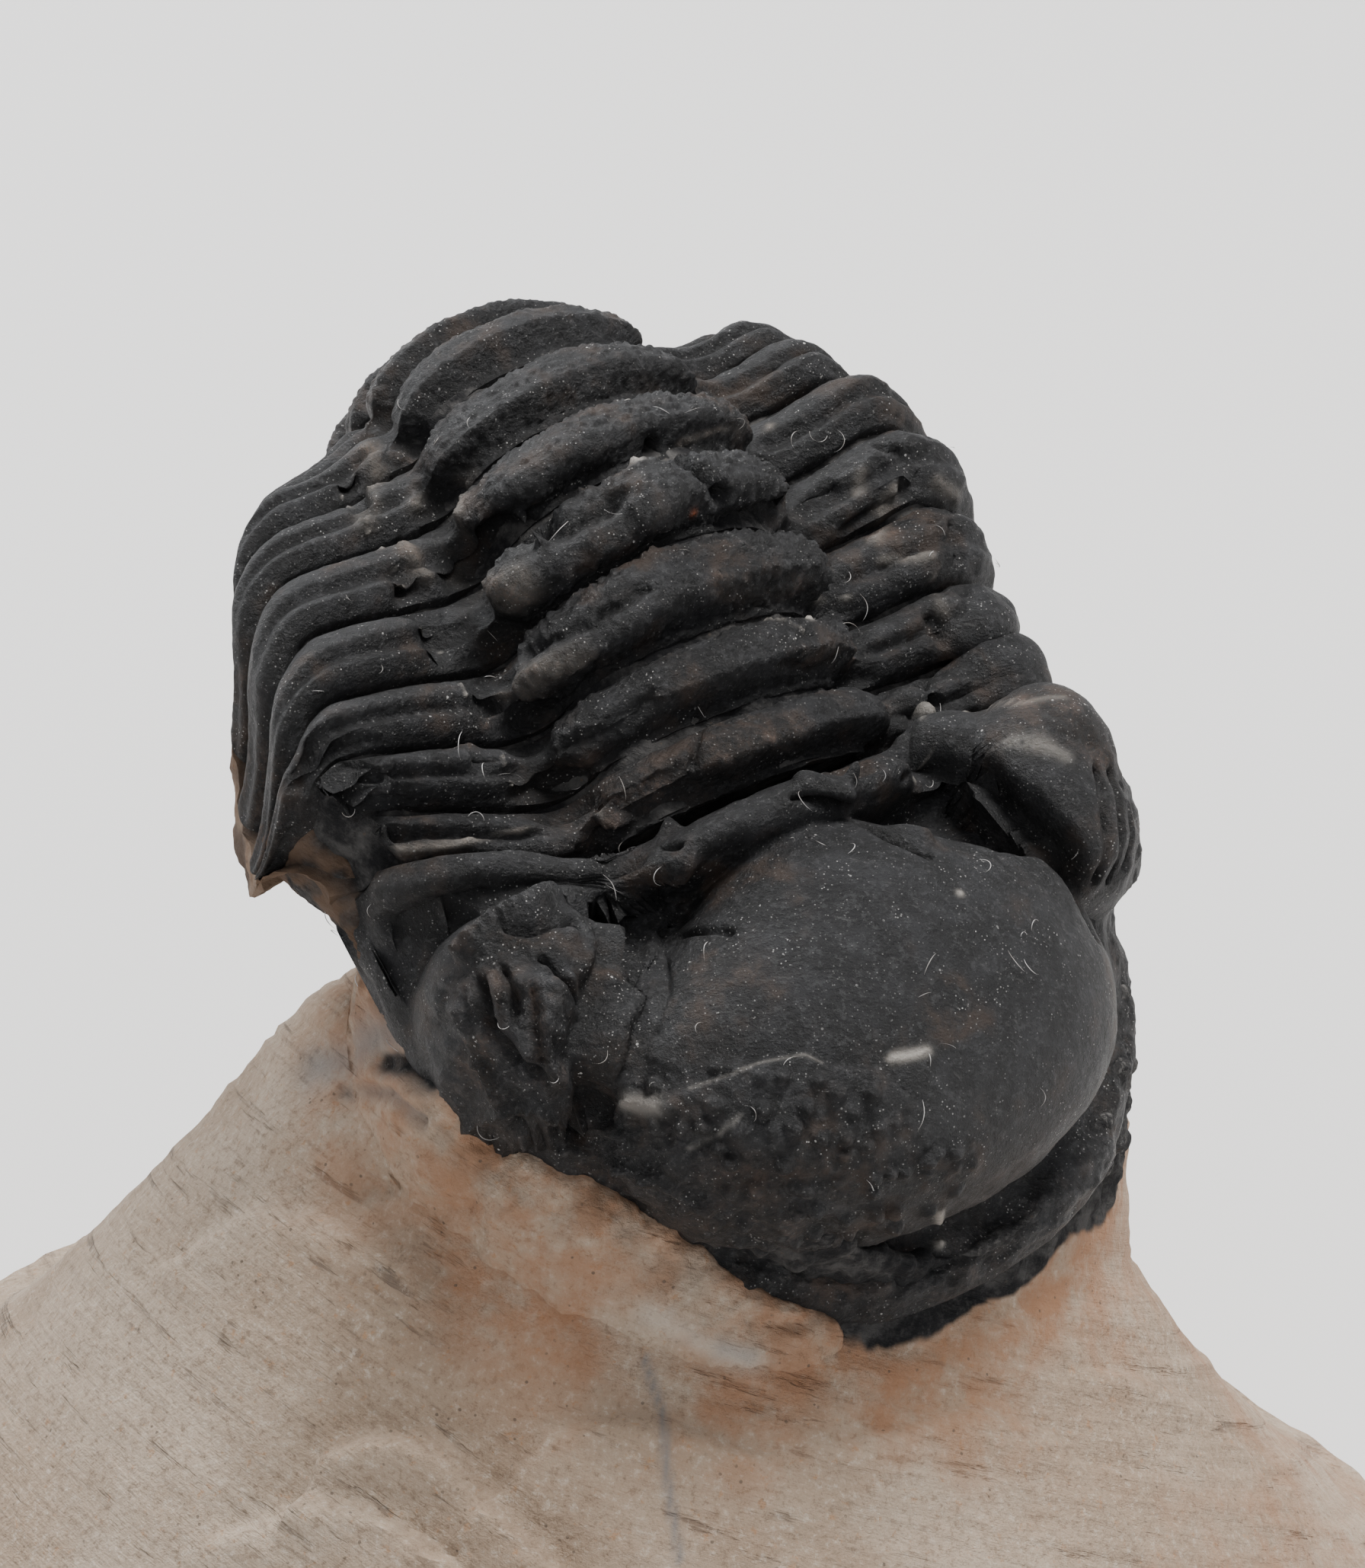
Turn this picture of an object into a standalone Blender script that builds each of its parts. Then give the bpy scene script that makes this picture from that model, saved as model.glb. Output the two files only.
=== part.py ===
"""Fossil trilobite arched over a carved mound of limestone.

The skeleton is a head shield, eleven thorax segments and a tail shield. The limestone is one stone: a mound, a neck
and the filling of the body. Working values are in millimetres and meshes are made in metres, with +Z up. The
viewer's side, where the head faces, is towards -Y.
"""
import math

import bmesh
import bpy
import numpy as np
from mathutils import Matrix

MM = 0.001
GAP = 0.3

# Place and heading of the animal
HEADING = math.radians(35.0)
ACROSS = np.array([math.cos(HEADING), math.sin(HEADING), 0.0])
BACK = np.array([-math.sin(HEADING), math.cos(HEADING), 0.0])
UP = np.array([0.0, 0.0, 1.0])
HINGE = np.array([6.0, 0.5, 35.0])

# Arch of the thorax along its back
CLIMB_AT_HEAD = math.radians(36.0)
BEND_START = 11.0
BEND_FULL = 19.0
BEND_SLOW = math.radians(1.3)
BEND_RATE = math.radians(7.2)
SPINE_STEP = 0.05
SPINE_REACH = 44.0
PITCHES = np.array([2.3, 2.4, 2.8, 2.9, 2.9, 2.8, 2.7, 2.5, 2.3, 2.2, 2.1])
SEGMENTS = len(PITCHES)
TAIL_LENGTH = 6.5
TAPER_START = 7.0
TAPER_REACH = 20.0
TAPER = 0.32
DRIFT = 2.0
DRIFT_REACH = 14.0

# Cross-section of the thorax
RING_HALF = 5.7
RING_RISE = 3.9
RING_START = 0.62
RING_GROWTH = 9.0
RING_LOSS = 0.22
RING_LOSS_START = 9.0
RING_LOSS_REACH = 6.0
SPAN_START = 5.0
SPAN_END = 17.0
SPAN_FADE = 8.0
REAR_SHIFT = 1.0
REAR_SHIFT_START = 14.0
REAR_SHIFT_REACH = 10.0
REAR_SINK = 1.7
REAR_SINK_START = 17.5
REAR_SINK_REACH = 7.5
LEFT_SPREAD = 1.3
SPREAD_START = 7.5
SPREAD_REACH = 3.5
LEFT_LIFT = 1.2
RIGHT_LIFT = 2.1
RIGHT_LIFT_REACH = 14.0
LIFT_START = 6.0
LIFT_REACH = 4.5
FURROW_WIDTH = 0.5
RIB_FLAT = 4.2
RIB_TILT = math.radians(4.0)
RIB_SLOPE = 0.4
SLOPE_START = 8.0
SLOPE_REACH = 9.0
SHOULDER_RADIUS = 2.4
SHOULDER_TURN = math.radians(80.0)
RIB_DROP = 4.6
DROP_START = 0.45
DROP_GROWTH = 9.0
DROP_LOSS = 0.4
DROP_LOSS_START = 11.0
DROP_LOSS_REACH = 8.0
TIP_SWEEP = 3.0
SWEEP_REACH = 11.0
LEFT_SWEEP = 2.8
LEFT_SWEEP_START = 4.5
LEFT_SWEEP_REACH = 9.0
LEFT_SWEEP_END = 10.0
BROKEN_ENDS = [-0.68, -0.73]
SHELL = 1.4
RING_ROLL = 1.0
RIB_ROLL = 0.75
CORNER_BLEND = 0.9
PROFILE_STEP = 0.05
SECTION_ROWS = 27
RIB_STATIONS = np.array([-0.5, -0.28, 0.0, 0.28, 0.5])
TAIL_ROWS = 8
LEDGE_DROP = 1.6
LEDGE_INSET = 0.2
KEEL_HALF = 6.5
KEEL_LEVEL = -9.4
KEEL_SHARE = 0.85

# Head shield, in its own axes: across, forward and up from the hinge
HEAD_LEFT = 11.9
HEAD_RIGHT = 12.3
PLAN_POWER = 2.2
PLAN_POWER_CHANGE = 0.35
HEAD_SIDE = 1.5
HEAD_LENGTH = 15.6
HEAD_CENTRE = 6.0
RIM_LEVEL = -5.0
CHEEK_RISE = 5.4
HEAD_ANGLES = 64
HEAD_RINGS = 19
RAY_DEPTH = -26.0
RAY_TOP = 6.5

# Limestone mound: eight compass values from +X turning towards +Y
MOUND_CENTRE = np.array([5.0, 5.5, 0.0])
EDGE_RADIUS = [24.5, 20.5, 27.0, 27.5, 33.0, 40.0, 38.0, 29.5]
EDGE_HEIGHT = [1.6, 2.0, 3.0, 3.0, 5.2, 5.0, 5.0, 2.4]
FOOT_RADIUS = [13.3, 11.5, 11.5, 11.0, 12.6, 13.6, 14.3, 14.6]
FOOT_HEIGHT = [14.6, 9.5, 8.0, 11.0, 23.8, 28.2, 24.8, 20.3]
NECK_RADIUS = [13.1, 10.5, 9.5, 8.5, 8.5, 10.8, 12.4, 13.4]
MOUND_TOP = 31.0
MOUND_ANGLES = 56
SLOPE_POWER = 1.3


def smooth(value):
    """Smooth step from 0 to 1: three squares less two cubes."""
    step = np.clip(value, 0.0, 1.0)
    return step * step * (3.0 - 2.0 * step)


def soft_union(first, second, width):
    """Lower of two fields, rounded over a width where they cross."""
    mix = np.clip(0.5 + 0.5 * (second - first) / width, 0.0, 1.0)
    return second * (1.0 - mix) + first * mix - width * mix * (1.0 - mix)


def soft_cut(shape, tool, width):
    """Field of a shape with a tool taken out of it."""
    return -soft_union(-shape, tool, width)


def spine_table():
    """Arc length, turning of the back, and the path's distance back and up, summed in small steps."""
    length = np.arange(-3.0, SPINE_REACH, SPINE_STEP)
    rate = BEND_SLOW + (BEND_RATE - BEND_SLOW) * np.clip((length - BEND_START) / (BEND_FULL - BEND_START), 0.0, 1.0)
    rate = np.where((length < 0.0) | (length > THORAX_END), 0.0, rate)
    climb = CLIMB_AT_HEAD - np.cumsum(rate) * SPINE_STEP
    back = np.cumsum(np.cos(climb)) * SPINE_STEP
    rise = np.cumsum(np.sin(climb)) * SPINE_STEP
    back -= np.interp(0.0, length, back)
    rise -= np.interp(0.0, length, rise)
    return length, rate, climb, back, rise


JOINTS = np.concatenate([[0.0], np.cumsum(PITCHES)])
THORAX_END = JOINTS[-1]
SPINE = spine_table()


def on_spine(length, across, above):
    """World point at an arc length, a distance across and a height above the line of the furrows."""
    climb = np.interp(length, SPINE[0], SPINE[2])
    back = np.interp(length, SPINE[0], SPINE[3]) - above * np.sin(climb)
    rise = np.interp(length, SPINE[0], SPINE[4]) + above * np.cos(climb)
    rise = rise - REAR_SINK * smooth((length - REAR_SINK_START) / REAR_SINK_REACH)
    return HINGE + across[..., None] * ACROSS + back[..., None] * BACK + rise[..., None] * UP


def section_table():
    """Right half of the outer face: a quarter ellipse for the ring, a furrow floor, then a rib that runs flat,
    turns over the shoulder and drops to its tip. Corners are rounded by a running mean."""
    turn = np.arange(0.0, 0.5 * math.pi, 0.01)
    ring = np.stack([RING_HALF * np.sin(turn), RING_RISE * np.cos(turn)], axis=-1)
    floor_end = np.array([[RING_HALF + FURROW_WIDTH, 0.0]])
    shoulder = SHOULDER_RADIUS * SHOULDER_TURN
    run = np.arange(0.0, RIB_FLAT + shoulder + RIB_DROP, PROFILE_STEP)
    angle = RIB_TILT + SHOULDER_TURN * np.clip((run - RIB_FLAT) / shoulder, 0.0, 1.0)
    rib = np.stack([np.cumsum(np.cos(angle)), -np.cumsum(np.sin(angle))], axis=-1) * PROFILE_STEP
    points = np.concatenate([ring, floor_end, floor_end + rib])
    length = np.concatenate([[0.0], np.cumsum(np.linalg.norm(np.diff(points, axis=0), axis=1))])
    even = np.arange(0.0, length[-1], PROFILE_STEP)
    points = np.stack([np.interp(even, length, points[:, 0]), np.interp(even, length, points[:, 1])], axis=-1)
    mirrored = np.concatenate([points[:0:-1] * [-1.0, 1.0], points])
    reach = int(CORNER_BLEND / PROFILE_STEP)
    padded = np.concatenate([2 * mirrored[0] - mirrored[reach:0:-1], mirrored,
                             2 * mirrored[-1] - mirrored[-2:-reach - 2:-1]])
    mean = np.ones(reach + 1) / (reach + 1)
    across = np.convolve(padded[:, 0], mean, mode="same")[reach:-reach]
    above = np.convolve(padded[:, 1], mean, mode="same")[reach:-reach]
    slope = np.stack([np.gradient(across), np.gradient(above)], axis=-1)
    slope /= np.linalg.norm(slope, axis=1)[:, None]
    place = np.linspace(-1.0, 1.0, len(across))
    return place, across, above, -slope[:, 1], slope[:, 0]


SECTION = section_table()
FURROW_AT = float(np.interp(RING_HALF + 0.3 * FURROW_WIDTH, SECTION[1], SECTION[0]))
SHOULDER_AT = float(np.interp(RING_HALF + FURROW_WIDTH + RIB_FLAT, SECTION[1], SECTION[0]))
TIP_LEVEL = float(SECTION[2][0])
TIP_ACROSS = float(SECTION[1][-1])


def section_point(place, inset):
    """Distance across and height of the thorax section at a place from -1 to 1, moved inwards by an inset."""
    across = np.interp(place, SECTION[0], SECTION[1]) - inset * np.interp(place, SECTION[0], SECTION[3])
    above = np.interp(place, SECTION[0], SECTION[2]) - inset * np.interp(place, SECTION[0], SECTION[4])
    return across, above


def body_size(length):
    """Share of the full section that the body has at an arc length: it falls along a smooth step."""
    return 1.0 - TAPER * smooth((np.clip(length, 0.0, THORAX_END) - TAPER_START) / TAPER_REACH)


def drop_share(length):
    """Share of the full drop that the rib ends have: short next to the head, long in the middle, shorter behind."""
    grown = DROP_START + (1.0 - DROP_START) * smooth(length / DROP_GROWTH)
    return grown - DROP_LOSS * smooth((length - DROP_LOSS_START) / DROP_LOSS_REACH)


def section_at(length, place, inset):
    """Distance across and height of the section at an arc length. Towards the tail the rings stand higher and the
    ribs slope down more."""
    beyond = np.clip(np.abs(place) - SHOULDER_AT, 0.0, None)
    place = np.sign(place) * (np.minimum(np.abs(place), SHOULDER_AT) + beyond * drop_share(length))
    across, above = section_point(place, 0.0)
    ring = RING_START + (1.0 - RING_START) * smooth(length / RING_GROWTH)
    ring = ring - RING_LOSS * smooth((length - RING_LOSS_START) / RING_LOSS_REACH)
    above = np.where(above > 0.0, above * ring, above)
    out = np.clip(np.abs(across) - RING_HALF - FURROW_WIDTH, 0.0, None)
    above = above - RIB_SLOPE * smooth((length - SLOPE_START) / SLOPE_REACH) * out
    inner_across, inner_above = section_point(place, inset)
    plain_above = section_point(place, 0.0)[1]
    size = body_size(length)
    return inner_across * size, (above + inner_above - plain_above) * size


def left_sweep(across):
    """How far the plates on the left side lie back, near the head."""
    return LEFT_SWEEP * smooth((-across - LEFT_SWEEP_START) / LEFT_SWEEP_REACH)


def side_shift(length, across):
    """How far the sides are spread to the left and lifted, over the middle of the arch. The rear lies to the
    right."""
    span = smooth(length / SPAN_START) * (1.0 - smooth((length - SPAN_END) / SPAN_FADE))
    spread = LEFT_SPREAD * smooth((-across - SPREAD_START) / SPREAD_REACH) * span
    left = LEFT_LIFT * smooth((-across - LIFT_START) / LIFT_REACH)
    right = RIGHT_LIFT * smooth((across - LIFT_START) / LIFT_REACH) * smooth(length / RIGHT_LIFT_REACH)
    spread = spread - REAR_SHIFT * smooth((length - REAR_SHIFT_START) / REAR_SHIFT_REACH)
    return spread, (left + right) * span


def body_place(length, across, above, tip, inset, outward, lower=0.0):
    """World point from section values. Past the last joint the section shrinks as a half ellipse does, and the rib
    ends sweep forwards."""
    beyond = np.clip((length - THORAX_END) / (TAIL_LENGTH - inset), 0.0, 1.0)
    taper = np.sqrt(1.0 - beyond * beyond)
    sweep = TIP_SWEEP * smooth(outward) * smooth(length / SWEEP_REACH) * taper
    sweep = sweep - left_sweep(across) * (1.0 - smooth(length / LEFT_SWEEP_END))
    drift = DRIFT * smooth(length / DRIFT_REACH)
    spread, lift = side_shift(length, across)
    above = tip + (above - tip) * taper - lower + lift
    return on_spine(length - sweep, across * taper + drift - spread, above)


def body_point(length, place, inset):
    """World point of the body's surface at an arc length and a place across, moved inwards by an inset."""
    across, above = section_at(length, place, inset)
    tip = section_at(length, 1.0, 0.0)[1]
    outward = (np.abs(place) - SHOULDER_AT) / (1.0 - SHOULDER_AT)
    return body_place(length, across, above, tip, inset, outward)


def gap_length(length, place, inset):
    """Arc length that gives half the gap between plates at a depth inside the arch, from how far the surface moves
    for a small step of arc length."""
    step = 0.2
    moved = np.linalg.norm(body_point(length + step, place, inset) - body_point(length - step, place, inset), axis=-1)
    return 0.5 * GAP * 2.0 * step / np.clip(moved, 0.3 * step, None)


def loft(name, loops, start_cap, end_cap, material):
    """One closed mesh from loops of points. Rows that shrink to a point are welded into it."""
    rows, count = loops.shape[:2]
    index = np.arange(rows * count).reshape(rows, count)
    near, far = index[:-1], index[1:]
    quads = np.stack([near, np.roll(near, -1, axis=1), np.roll(far, -1, axis=1), far], axis=-1).reshape(-1, 4)
    faces = quads.tolist()
    if start_cap:
        faces.append(index[0].tolist()[::-1])
    if end_cap:
        faces.append(index[-1].tolist())
    mesh = bpy.data.meshes.new(name)
    mesh.from_pydata((loops.reshape(-1, 3) * MM).tolist(), [], faces)
    shape = bmesh.new()
    shape.from_mesh(mesh)
    bmesh.ops.remove_doubles(shape, verts=shape.verts, dist=1e-6)
    bmesh.ops.triangulate(shape, faces=shape.faces)
    bmesh.ops.recalc_face_normals(shape, faces=shape.faces)
    shape.to_mesh(mesh)
    shape.free()
    mesh.shade_smooth()
    mesh.set_sharp_from_angle(angle=math.radians(50.0))
    thing = bpy.data.objects.new(name, mesh)
    bpy.context.scene.collection.objects.link(thing)
    if material:
        mesh.materials.append(material)
    return thing


def finish(name, colour, roughness):
    """Principled material of one colour."""
    material = bpy.data.materials.new(name)
    material.use_nodes = True
    shader = material.node_tree.nodes["Principled BSDF"]
    shader.inputs["Base Color"].default_value = (*colour, 1.0)
    shader.inputs["Roughness"].default_value = roughness
    shader.inputs["Metallic"].default_value = 0.0
    return material


def thorax_segment(number, material):
    """One hinged plate: an outer face that rolls down at its front and back edges, and a plain inner face. The left
    ends of the first plates are broken off."""
    start, end = JOINTS[number], JOINTS[number + 1]
    left = BROKEN_ENDS[number] if number < len(BROKEN_ENDS) else -1.0
    place = np.linspace(-1.0, 1.0, SECTION_ROWS)
    place = np.concatenate([[left], place[place > left + 0.02]])[:, None]
    roll = np.where(np.abs(place) < FURROW_AT, RING_ROLL, RIB_ROLL)
    outer_inset = roll * np.abs(2.0 * RIB_STATIONS) ** 2.6
    low = start + gap_length(start, place, SHELL)
    high = end - gap_length(end, place, SHELL)
    outer = body_point(low + (RIB_STATIONS + 0.5) * (high - low), place + 0.0 * outer_inset, outer_inset)
    inner = body_point(np.concatenate([high, low], axis=1), place + np.zeros((1, 2)), SHELL)
    return loft(f"thorax_segment_{number + 1:02d}", np.concatenate([outer, inner], axis=1), True, True, material)


def tail_shield(material):
    """The tail plate: the body's section shrinking to the tail's end, as a shell."""
    place = np.linspace(-1.0, 1.0, SECTION_ROWS)[None, :]
    turn = np.linspace(0.0, 0.5 * math.pi, TAIL_ROWS)[:, None]
    start = THORAX_END + gap_length(THORAX_END, place, SHELL)
    outer_length = start + (THORAX_END + TAIL_LENGTH - start) * np.sin(turn)
    inner_length = start + (THORAX_END + TAIL_LENGTH - SHELL - start) * np.sin(turn)
    outer = body_point(outer_length, place + 0.0 * turn, 0.0)
    inner = body_point(inner_length, place[:, ::-1] + 0.0 * turn, SHELL)
    return loft("tail_shield", np.concatenate([outer, inner], axis=1), True, False, material)


def filling(inset, start, ledge, keel_half, keel, name, material):
    """Rock inside the body: the section moved inwards, a ledge under the rib ends and a keel, along the arch. The
    keel stays short of the middle of the arch's curve."""
    place = np.linspace(-1.0, 1.0, SECTION_ROWS)[None, :]
    tail = THORAX_END + (TAIL_LENGTH - inset) * np.sin(np.linspace(0.0, 0.5 * math.pi, TAIL_ROWS))[1:]
    length = np.concatenate([[start], JOINTS[1:], tail])[:, None]
    arch = body_point(length, place + 0.0 * length, inset)
    tip_across, tip = section_at(length, 1.0, 0.0)
    rate = np.interp(length, SPINE[0], SPINE[1])
    deepest = -KEEL_SHARE / np.clip(rate, 0.02, None)
    floor = np.maximum(keel * body_size(length), deepest)
    across = [tip_across - side for side, _ in ledge]
    above = [tip - drop * drop_share(length) for _, drop in ledge]
    across += [keel_half * body_size(length), 0.0 * length]
    above += [floor, floor]
    across = np.concatenate(across + [-part for part in across[-2::-1]], axis=1)
    above = np.concatenate(above + above[-2::-1], axis=1)
    outward = np.clip((np.abs(across) - 0.6 * tip_across) / (0.4 * tip_across), 0.0, 1.0)
    below = body_place(length + 0.0 * across, across, above, tip, inset, outward, 2.4 * GAP)
    return loft(name, np.concatenate([arch, below], axis=1), True, False, material)


def to_world(across, forward, above):
    """World point of a place on the head shield, whose back meets the thorax at the hinge."""
    ahead = -math.cos(CLIMB_AT_HEAD) * BACK - math.sin(CLIMB_AT_HEAD) * UP
    upward = -math.sin(CLIMB_AT_HEAD) * BACK + math.cos(CLIMB_AT_HEAD) * UP
    return HINGE + across[..., None] * ACROSS + forward[..., None] * ahead + above[..., None] * upward


def outline_share(across, forward):
    """Plan of the head: straight sides at the back, then a rounded front. The rim is where the share is 1."""
    ahead = np.clip(forward - HEAD_SIDE, 0.0, None) / (HEAD_LENGTH - HEAD_SIDE)
    side = np.abs(across) / np.where(across < 0.0, HEAD_LEFT, HEAD_RIGHT)
    power = PLAN_POWER + PLAN_POWER_CHANGE * np.tanh(0.3 * across)
    return (side ** power + ahead ** power) ** (1.0 / power)


def ellipsoid(across, forward, above, centre, radii, power):
    """Distance-like field of a rounded block: the sum of powers of the scaled distances, less 1."""
    total = (np.abs((across - centre[0]) / radii[0]) ** power + np.abs((forward - centre[1]) / radii[1]) ** power
             + np.abs((above - centre[2]) / radii[2]) ** power)
    return (total ** (1.0 / power) - 1.0) * min(radii)


def head_field(across, forward, above):
    """Field of the head, below 0 inside: cheeks with a raised border, the glabella, the occipital ring and eyes."""
    side = np.abs(across)
    share = outline_share(across, forward)
    rise = CHEEK_RISE - 2.8 * smooth((forward - 5.0) / 8.0)
    height = (above - RIM_LEVEL) / rise
    cheeks = ((share ** 3.4 + np.clip(height, 0.0, None) ** 3.4) ** (1.0 / 3.4) - 1.0) * CHEEK_RISE
    crest = RIM_LEVEL + rise * np.clip(1.0 - share ** 3.4, 0.0, 1.0) ** (1.0 / 3.4)
    back_ridge = np.hypot(forward - 1.2, above - crest + 0.1) - 0.8
    back_furrow = np.hypot((forward - 2.7) / 1.2, above - crest - 0.2) - 0.7
    rim = np.hypot((share - 0.94) * 13.0, above - RIM_LEVEL - 0.9) - 0.85
    field = soft_cut(cheeks, back_furrow, 0.4)
    field = soft_union(field, back_ridge, 0.3)
    field = soft_union(field, rim, 0.5)
    half = 4.7 + 4.0 * smooth((forward - 1.6) / 5.2)
    glabella = ellipsoid(across * 8.7 / half, forward, above, (0.0, 7.5, -0.8), (8.7, 6.6, 5.0), 2.2)
    field = soft_union(field, glabella, 0.25)
    ring = ellipsoid(across, forward, above, (0.0, 1.2, -0.3), (5.9, 1.15, 3.4), 2.0)
    field = soft_union(field, ring, 0.2)
    eye = ellipsoid(side, forward, above, (9.5, 3.7, -1.5), (2.9, 3.5, 3.7), 2.6)
    return soft_union(field, eye, 0.25)


def head_rim(turn):
    """Plan distance from the head's centre to its rim, by halving."""
    low, high = np.zeros_like(turn), np.full_like(turn, 22.0)
    for _ in range(40):
        middle = 0.5 * (low + high)
        across, forward = middle * np.cos(turn), HEAD_CENTRE + middle * np.sin(turn)
        behind = (forward - 0.5 * GAP + left_sweep(across)) / 12.0
        inside = -soft_union(1.0 - outline_share(across, forward), behind, 0.06) < 0.0
        low, high = np.where(inside, middle, low), np.where(inside, high, middle)
    return low


def head_shield(material):
    """The head plate: rays that fan out from a deep point find the outermost surface of the head's field, from the
    crown to the rim, and a flat underside closes it."""
    turn = np.linspace(0.0, 2.0 * math.pi, HEAD_ANGLES, endpoint=False)[None, :]
    share = np.linspace(0.0, 1.0, HEAD_RINGS)[:, None] ** 0.9
    reach = share * head_rim(turn)
    target = np.stack([reach * np.cos(turn), HEAD_CENTRE + reach * np.sin(turn), RIM_LEVEL + 0.0 * reach], axis=-1)
    origin = np.array([0.0, HEAD_CENTRE, RAY_DEPTH])
    ray = target - origin
    top = (RAY_TOP - RAY_DEPTH) / (RIM_LEVEL - RAY_DEPTH)
    steps = np.linspace(top, 1.0, 140)
    found = np.ones_like(reach)
    waiting = np.ones(reach.shape, dtype=bool)
    for step in steps:
        point = origin + ray * step
        hit = waiting & (head_field(point[..., 0], point[..., 1], point[..., 2]) < 0.0)
        found = np.where(hit, step, found)
        waiting &= ~hit
    found[-1] = 1.0
    point = origin + ray * found[..., None]
    point[..., 1] = np.maximum(point[..., 1], 0.5 * GAP - left_sweep(point[..., 0]))
    crown = to_world(point[..., 0], point[..., 1], point[..., 2])
    under = np.stack([target[..., 0], target[..., 1], RIM_LEVEL + 0.0 * reach], axis=-1)[[14, 7, 0]]
    sole = to_world(under[..., 0], under[..., 1], under[..., 2])
    return loft("head_shield", np.concatenate([crown, sole]), False, False, material)


def around(values, turn):
    """Smooth closed curve through eight compass values, as a sum of waves."""
    waves = np.fft.rfft(values) / len(values)
    total = np.full_like(turn, waves[0].real)
    for order in range(1, len(waves)):
        weight = 1.0 if 2 * order == len(values) else 2.0
        total += weight * (waves[order].real * np.cos(order * turn) - waves[order].imag * np.sin(order * turn))
    return total


def mound(material):
    """The stone below the fossil: a flat base, a low edge, slopes that steepen towards the foot of the neck, and the
    neck itself, which ends inside the fossil."""
    turn = np.linspace(0.0, 2.0 * math.pi, MOUND_ANGLES, endpoint=False)
    edge, edge_height = around(EDGE_RADIUS, turn), around(EDGE_HEIGHT, turn)
    foot, foot_height = around(FOOT_RADIUS, turn), around(FOOT_HEIGHT, turn)
    neck = around(NECK_RADIUS, turn)
    rows = [(0.0 * edge, 0.0 * edge), (0.5 * edge, 0.0 * edge), (0.97 * edge, 0.0 * edge), (edge, 0.15 * edge_height),
            (edge, edge_height)]
    for share in (0.16, 0.36, 0.58, 0.8, 1.0):
        rise = (foot_height - edge_height) * share ** SLOPE_POWER
        rows.append((edge + (foot - edge) * share, edge_height + rise))
    rows.append((0.5 * (foot + neck), foot_height + 0.3 * (MOUND_TOP - foot_height)))
    rows.append((neck, 0.5 * (foot_height + MOUND_TOP)))
    rows.append((0.9 * neck, MOUND_TOP + 0.0 * neck))
    rows.append((0.45 * neck, MOUND_TOP + 1.0 + 0.0 * neck))
    rows.append((0.0 * neck, MOUND_TOP + 1.2 + 0.0 * neck))
    loops = [np.stack([radius * np.cos(turn), radius * np.sin(turn), height], axis=-1) for radius, height in rows]
    return loft("limestone_matrix", MOUND_CENTRE + np.array(loops), False, False, material)


def combine(stone, tool, operation):
    """Boolean of the stone with a tool, applied."""
    modifier = stone.modifiers.new(tool.name, "BOOLEAN")
    modifier.operation = operation
    modifier.object = tool
    modifier.solver = "EXACT"
    bpy.context.view_layer.update()
    graph = bpy.context.evaluated_depsgraph_get()
    cut = bpy.data.meshes.new_from_object(stone.evaluated_get(graph))
    stone.modifiers.remove(modifier)
    stone.data = cut
    bpy.data.objects.remove(tool)


def swollen(plate, growth):
    """Copy of a plate pushed out along its normals, to leave room around it."""
    mesh = plate.data.copy()
    thing = bpy.data.objects.new("room_for_" + plate.name, mesh)
    bpy.context.scene.collection.objects.link(thing)
    points = np.empty(len(mesh.vertices) * 3)
    normals = np.empty(len(mesh.vertices) * 3)
    mesh.vertices.foreach_get("co", points)
    mesh.vertices.foreach_get("normal", normals)
    mesh.vertices.foreach_set("co", points + normals * growth * MM)
    mesh.update()
    return thing


def centre_on_origin(things):
    """Move every mesh sideways, so that the middle of the whole piece's box is above the origin."""
    low = np.min([np.min([point.co for point in thing.data.vertices], axis=0) for thing in things], axis=0)
    high = np.max([np.max([point.co for point in thing.data.vertices], axis=0) for thing in things], axis=0)
    shift = Matrix.Translation((-0.5 * (low[0] + high[0]), -0.5 * (low[1] + high[1]), 0.0))
    for thing in things:
        thing.data.transform(shift)


def build():
    """Empty the scene, make every plate and the stone, and centre them."""
    for thing in list(bpy.data.objects):
        bpy.data.objects.remove(thing)
    black = finish("black_shell", (0.022, 0.022, 0.024), 0.42)
    tan = finish("tan_limestone", (0.56, 0.49, 0.41), 0.92)
    head = head_shield(black)
    for number in range(SEGMENTS):
        thorax_segment(number, black)
    tail_shield(black)
    stone = mound(tan)
    combine(stone, swollen(head, 1.4 * GAP), "DIFFERENCE")
    room = filling(-1.3 * GAP, -0.5, [(-1.3 * GAP, 0.3)], 0.5 * TIP_ACROSS, TIP_LEVEL, "room_for_body", None)
    combine(stone, room, "DIFFERENCE")
    ledge = [(LEDGE_INSET, 0.0), (LEDGE_INSET + 0.4, LEDGE_DROP)]
    core = filling(SHELL + 1.35 * GAP, GAP, ledge, KEEL_HALF, KEEL_LEVEL, "body_core", None)
    combine(stone, core, "UNION")
    centre_on_origin(list(bpy.data.objects))


build()
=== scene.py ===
"""Fossil trilobite arched over a carved limestone mound: its fine surface and finishes.

Shapes are worked out in millimetres. Every surface starts as a function of two parameters on a grid, and is
then pushed along its normals by marks: ridges, grooves, steps, pits and grain. Places in the photograph are
in pixels of its 1792 x 2059 frame.
"""
import math

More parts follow.
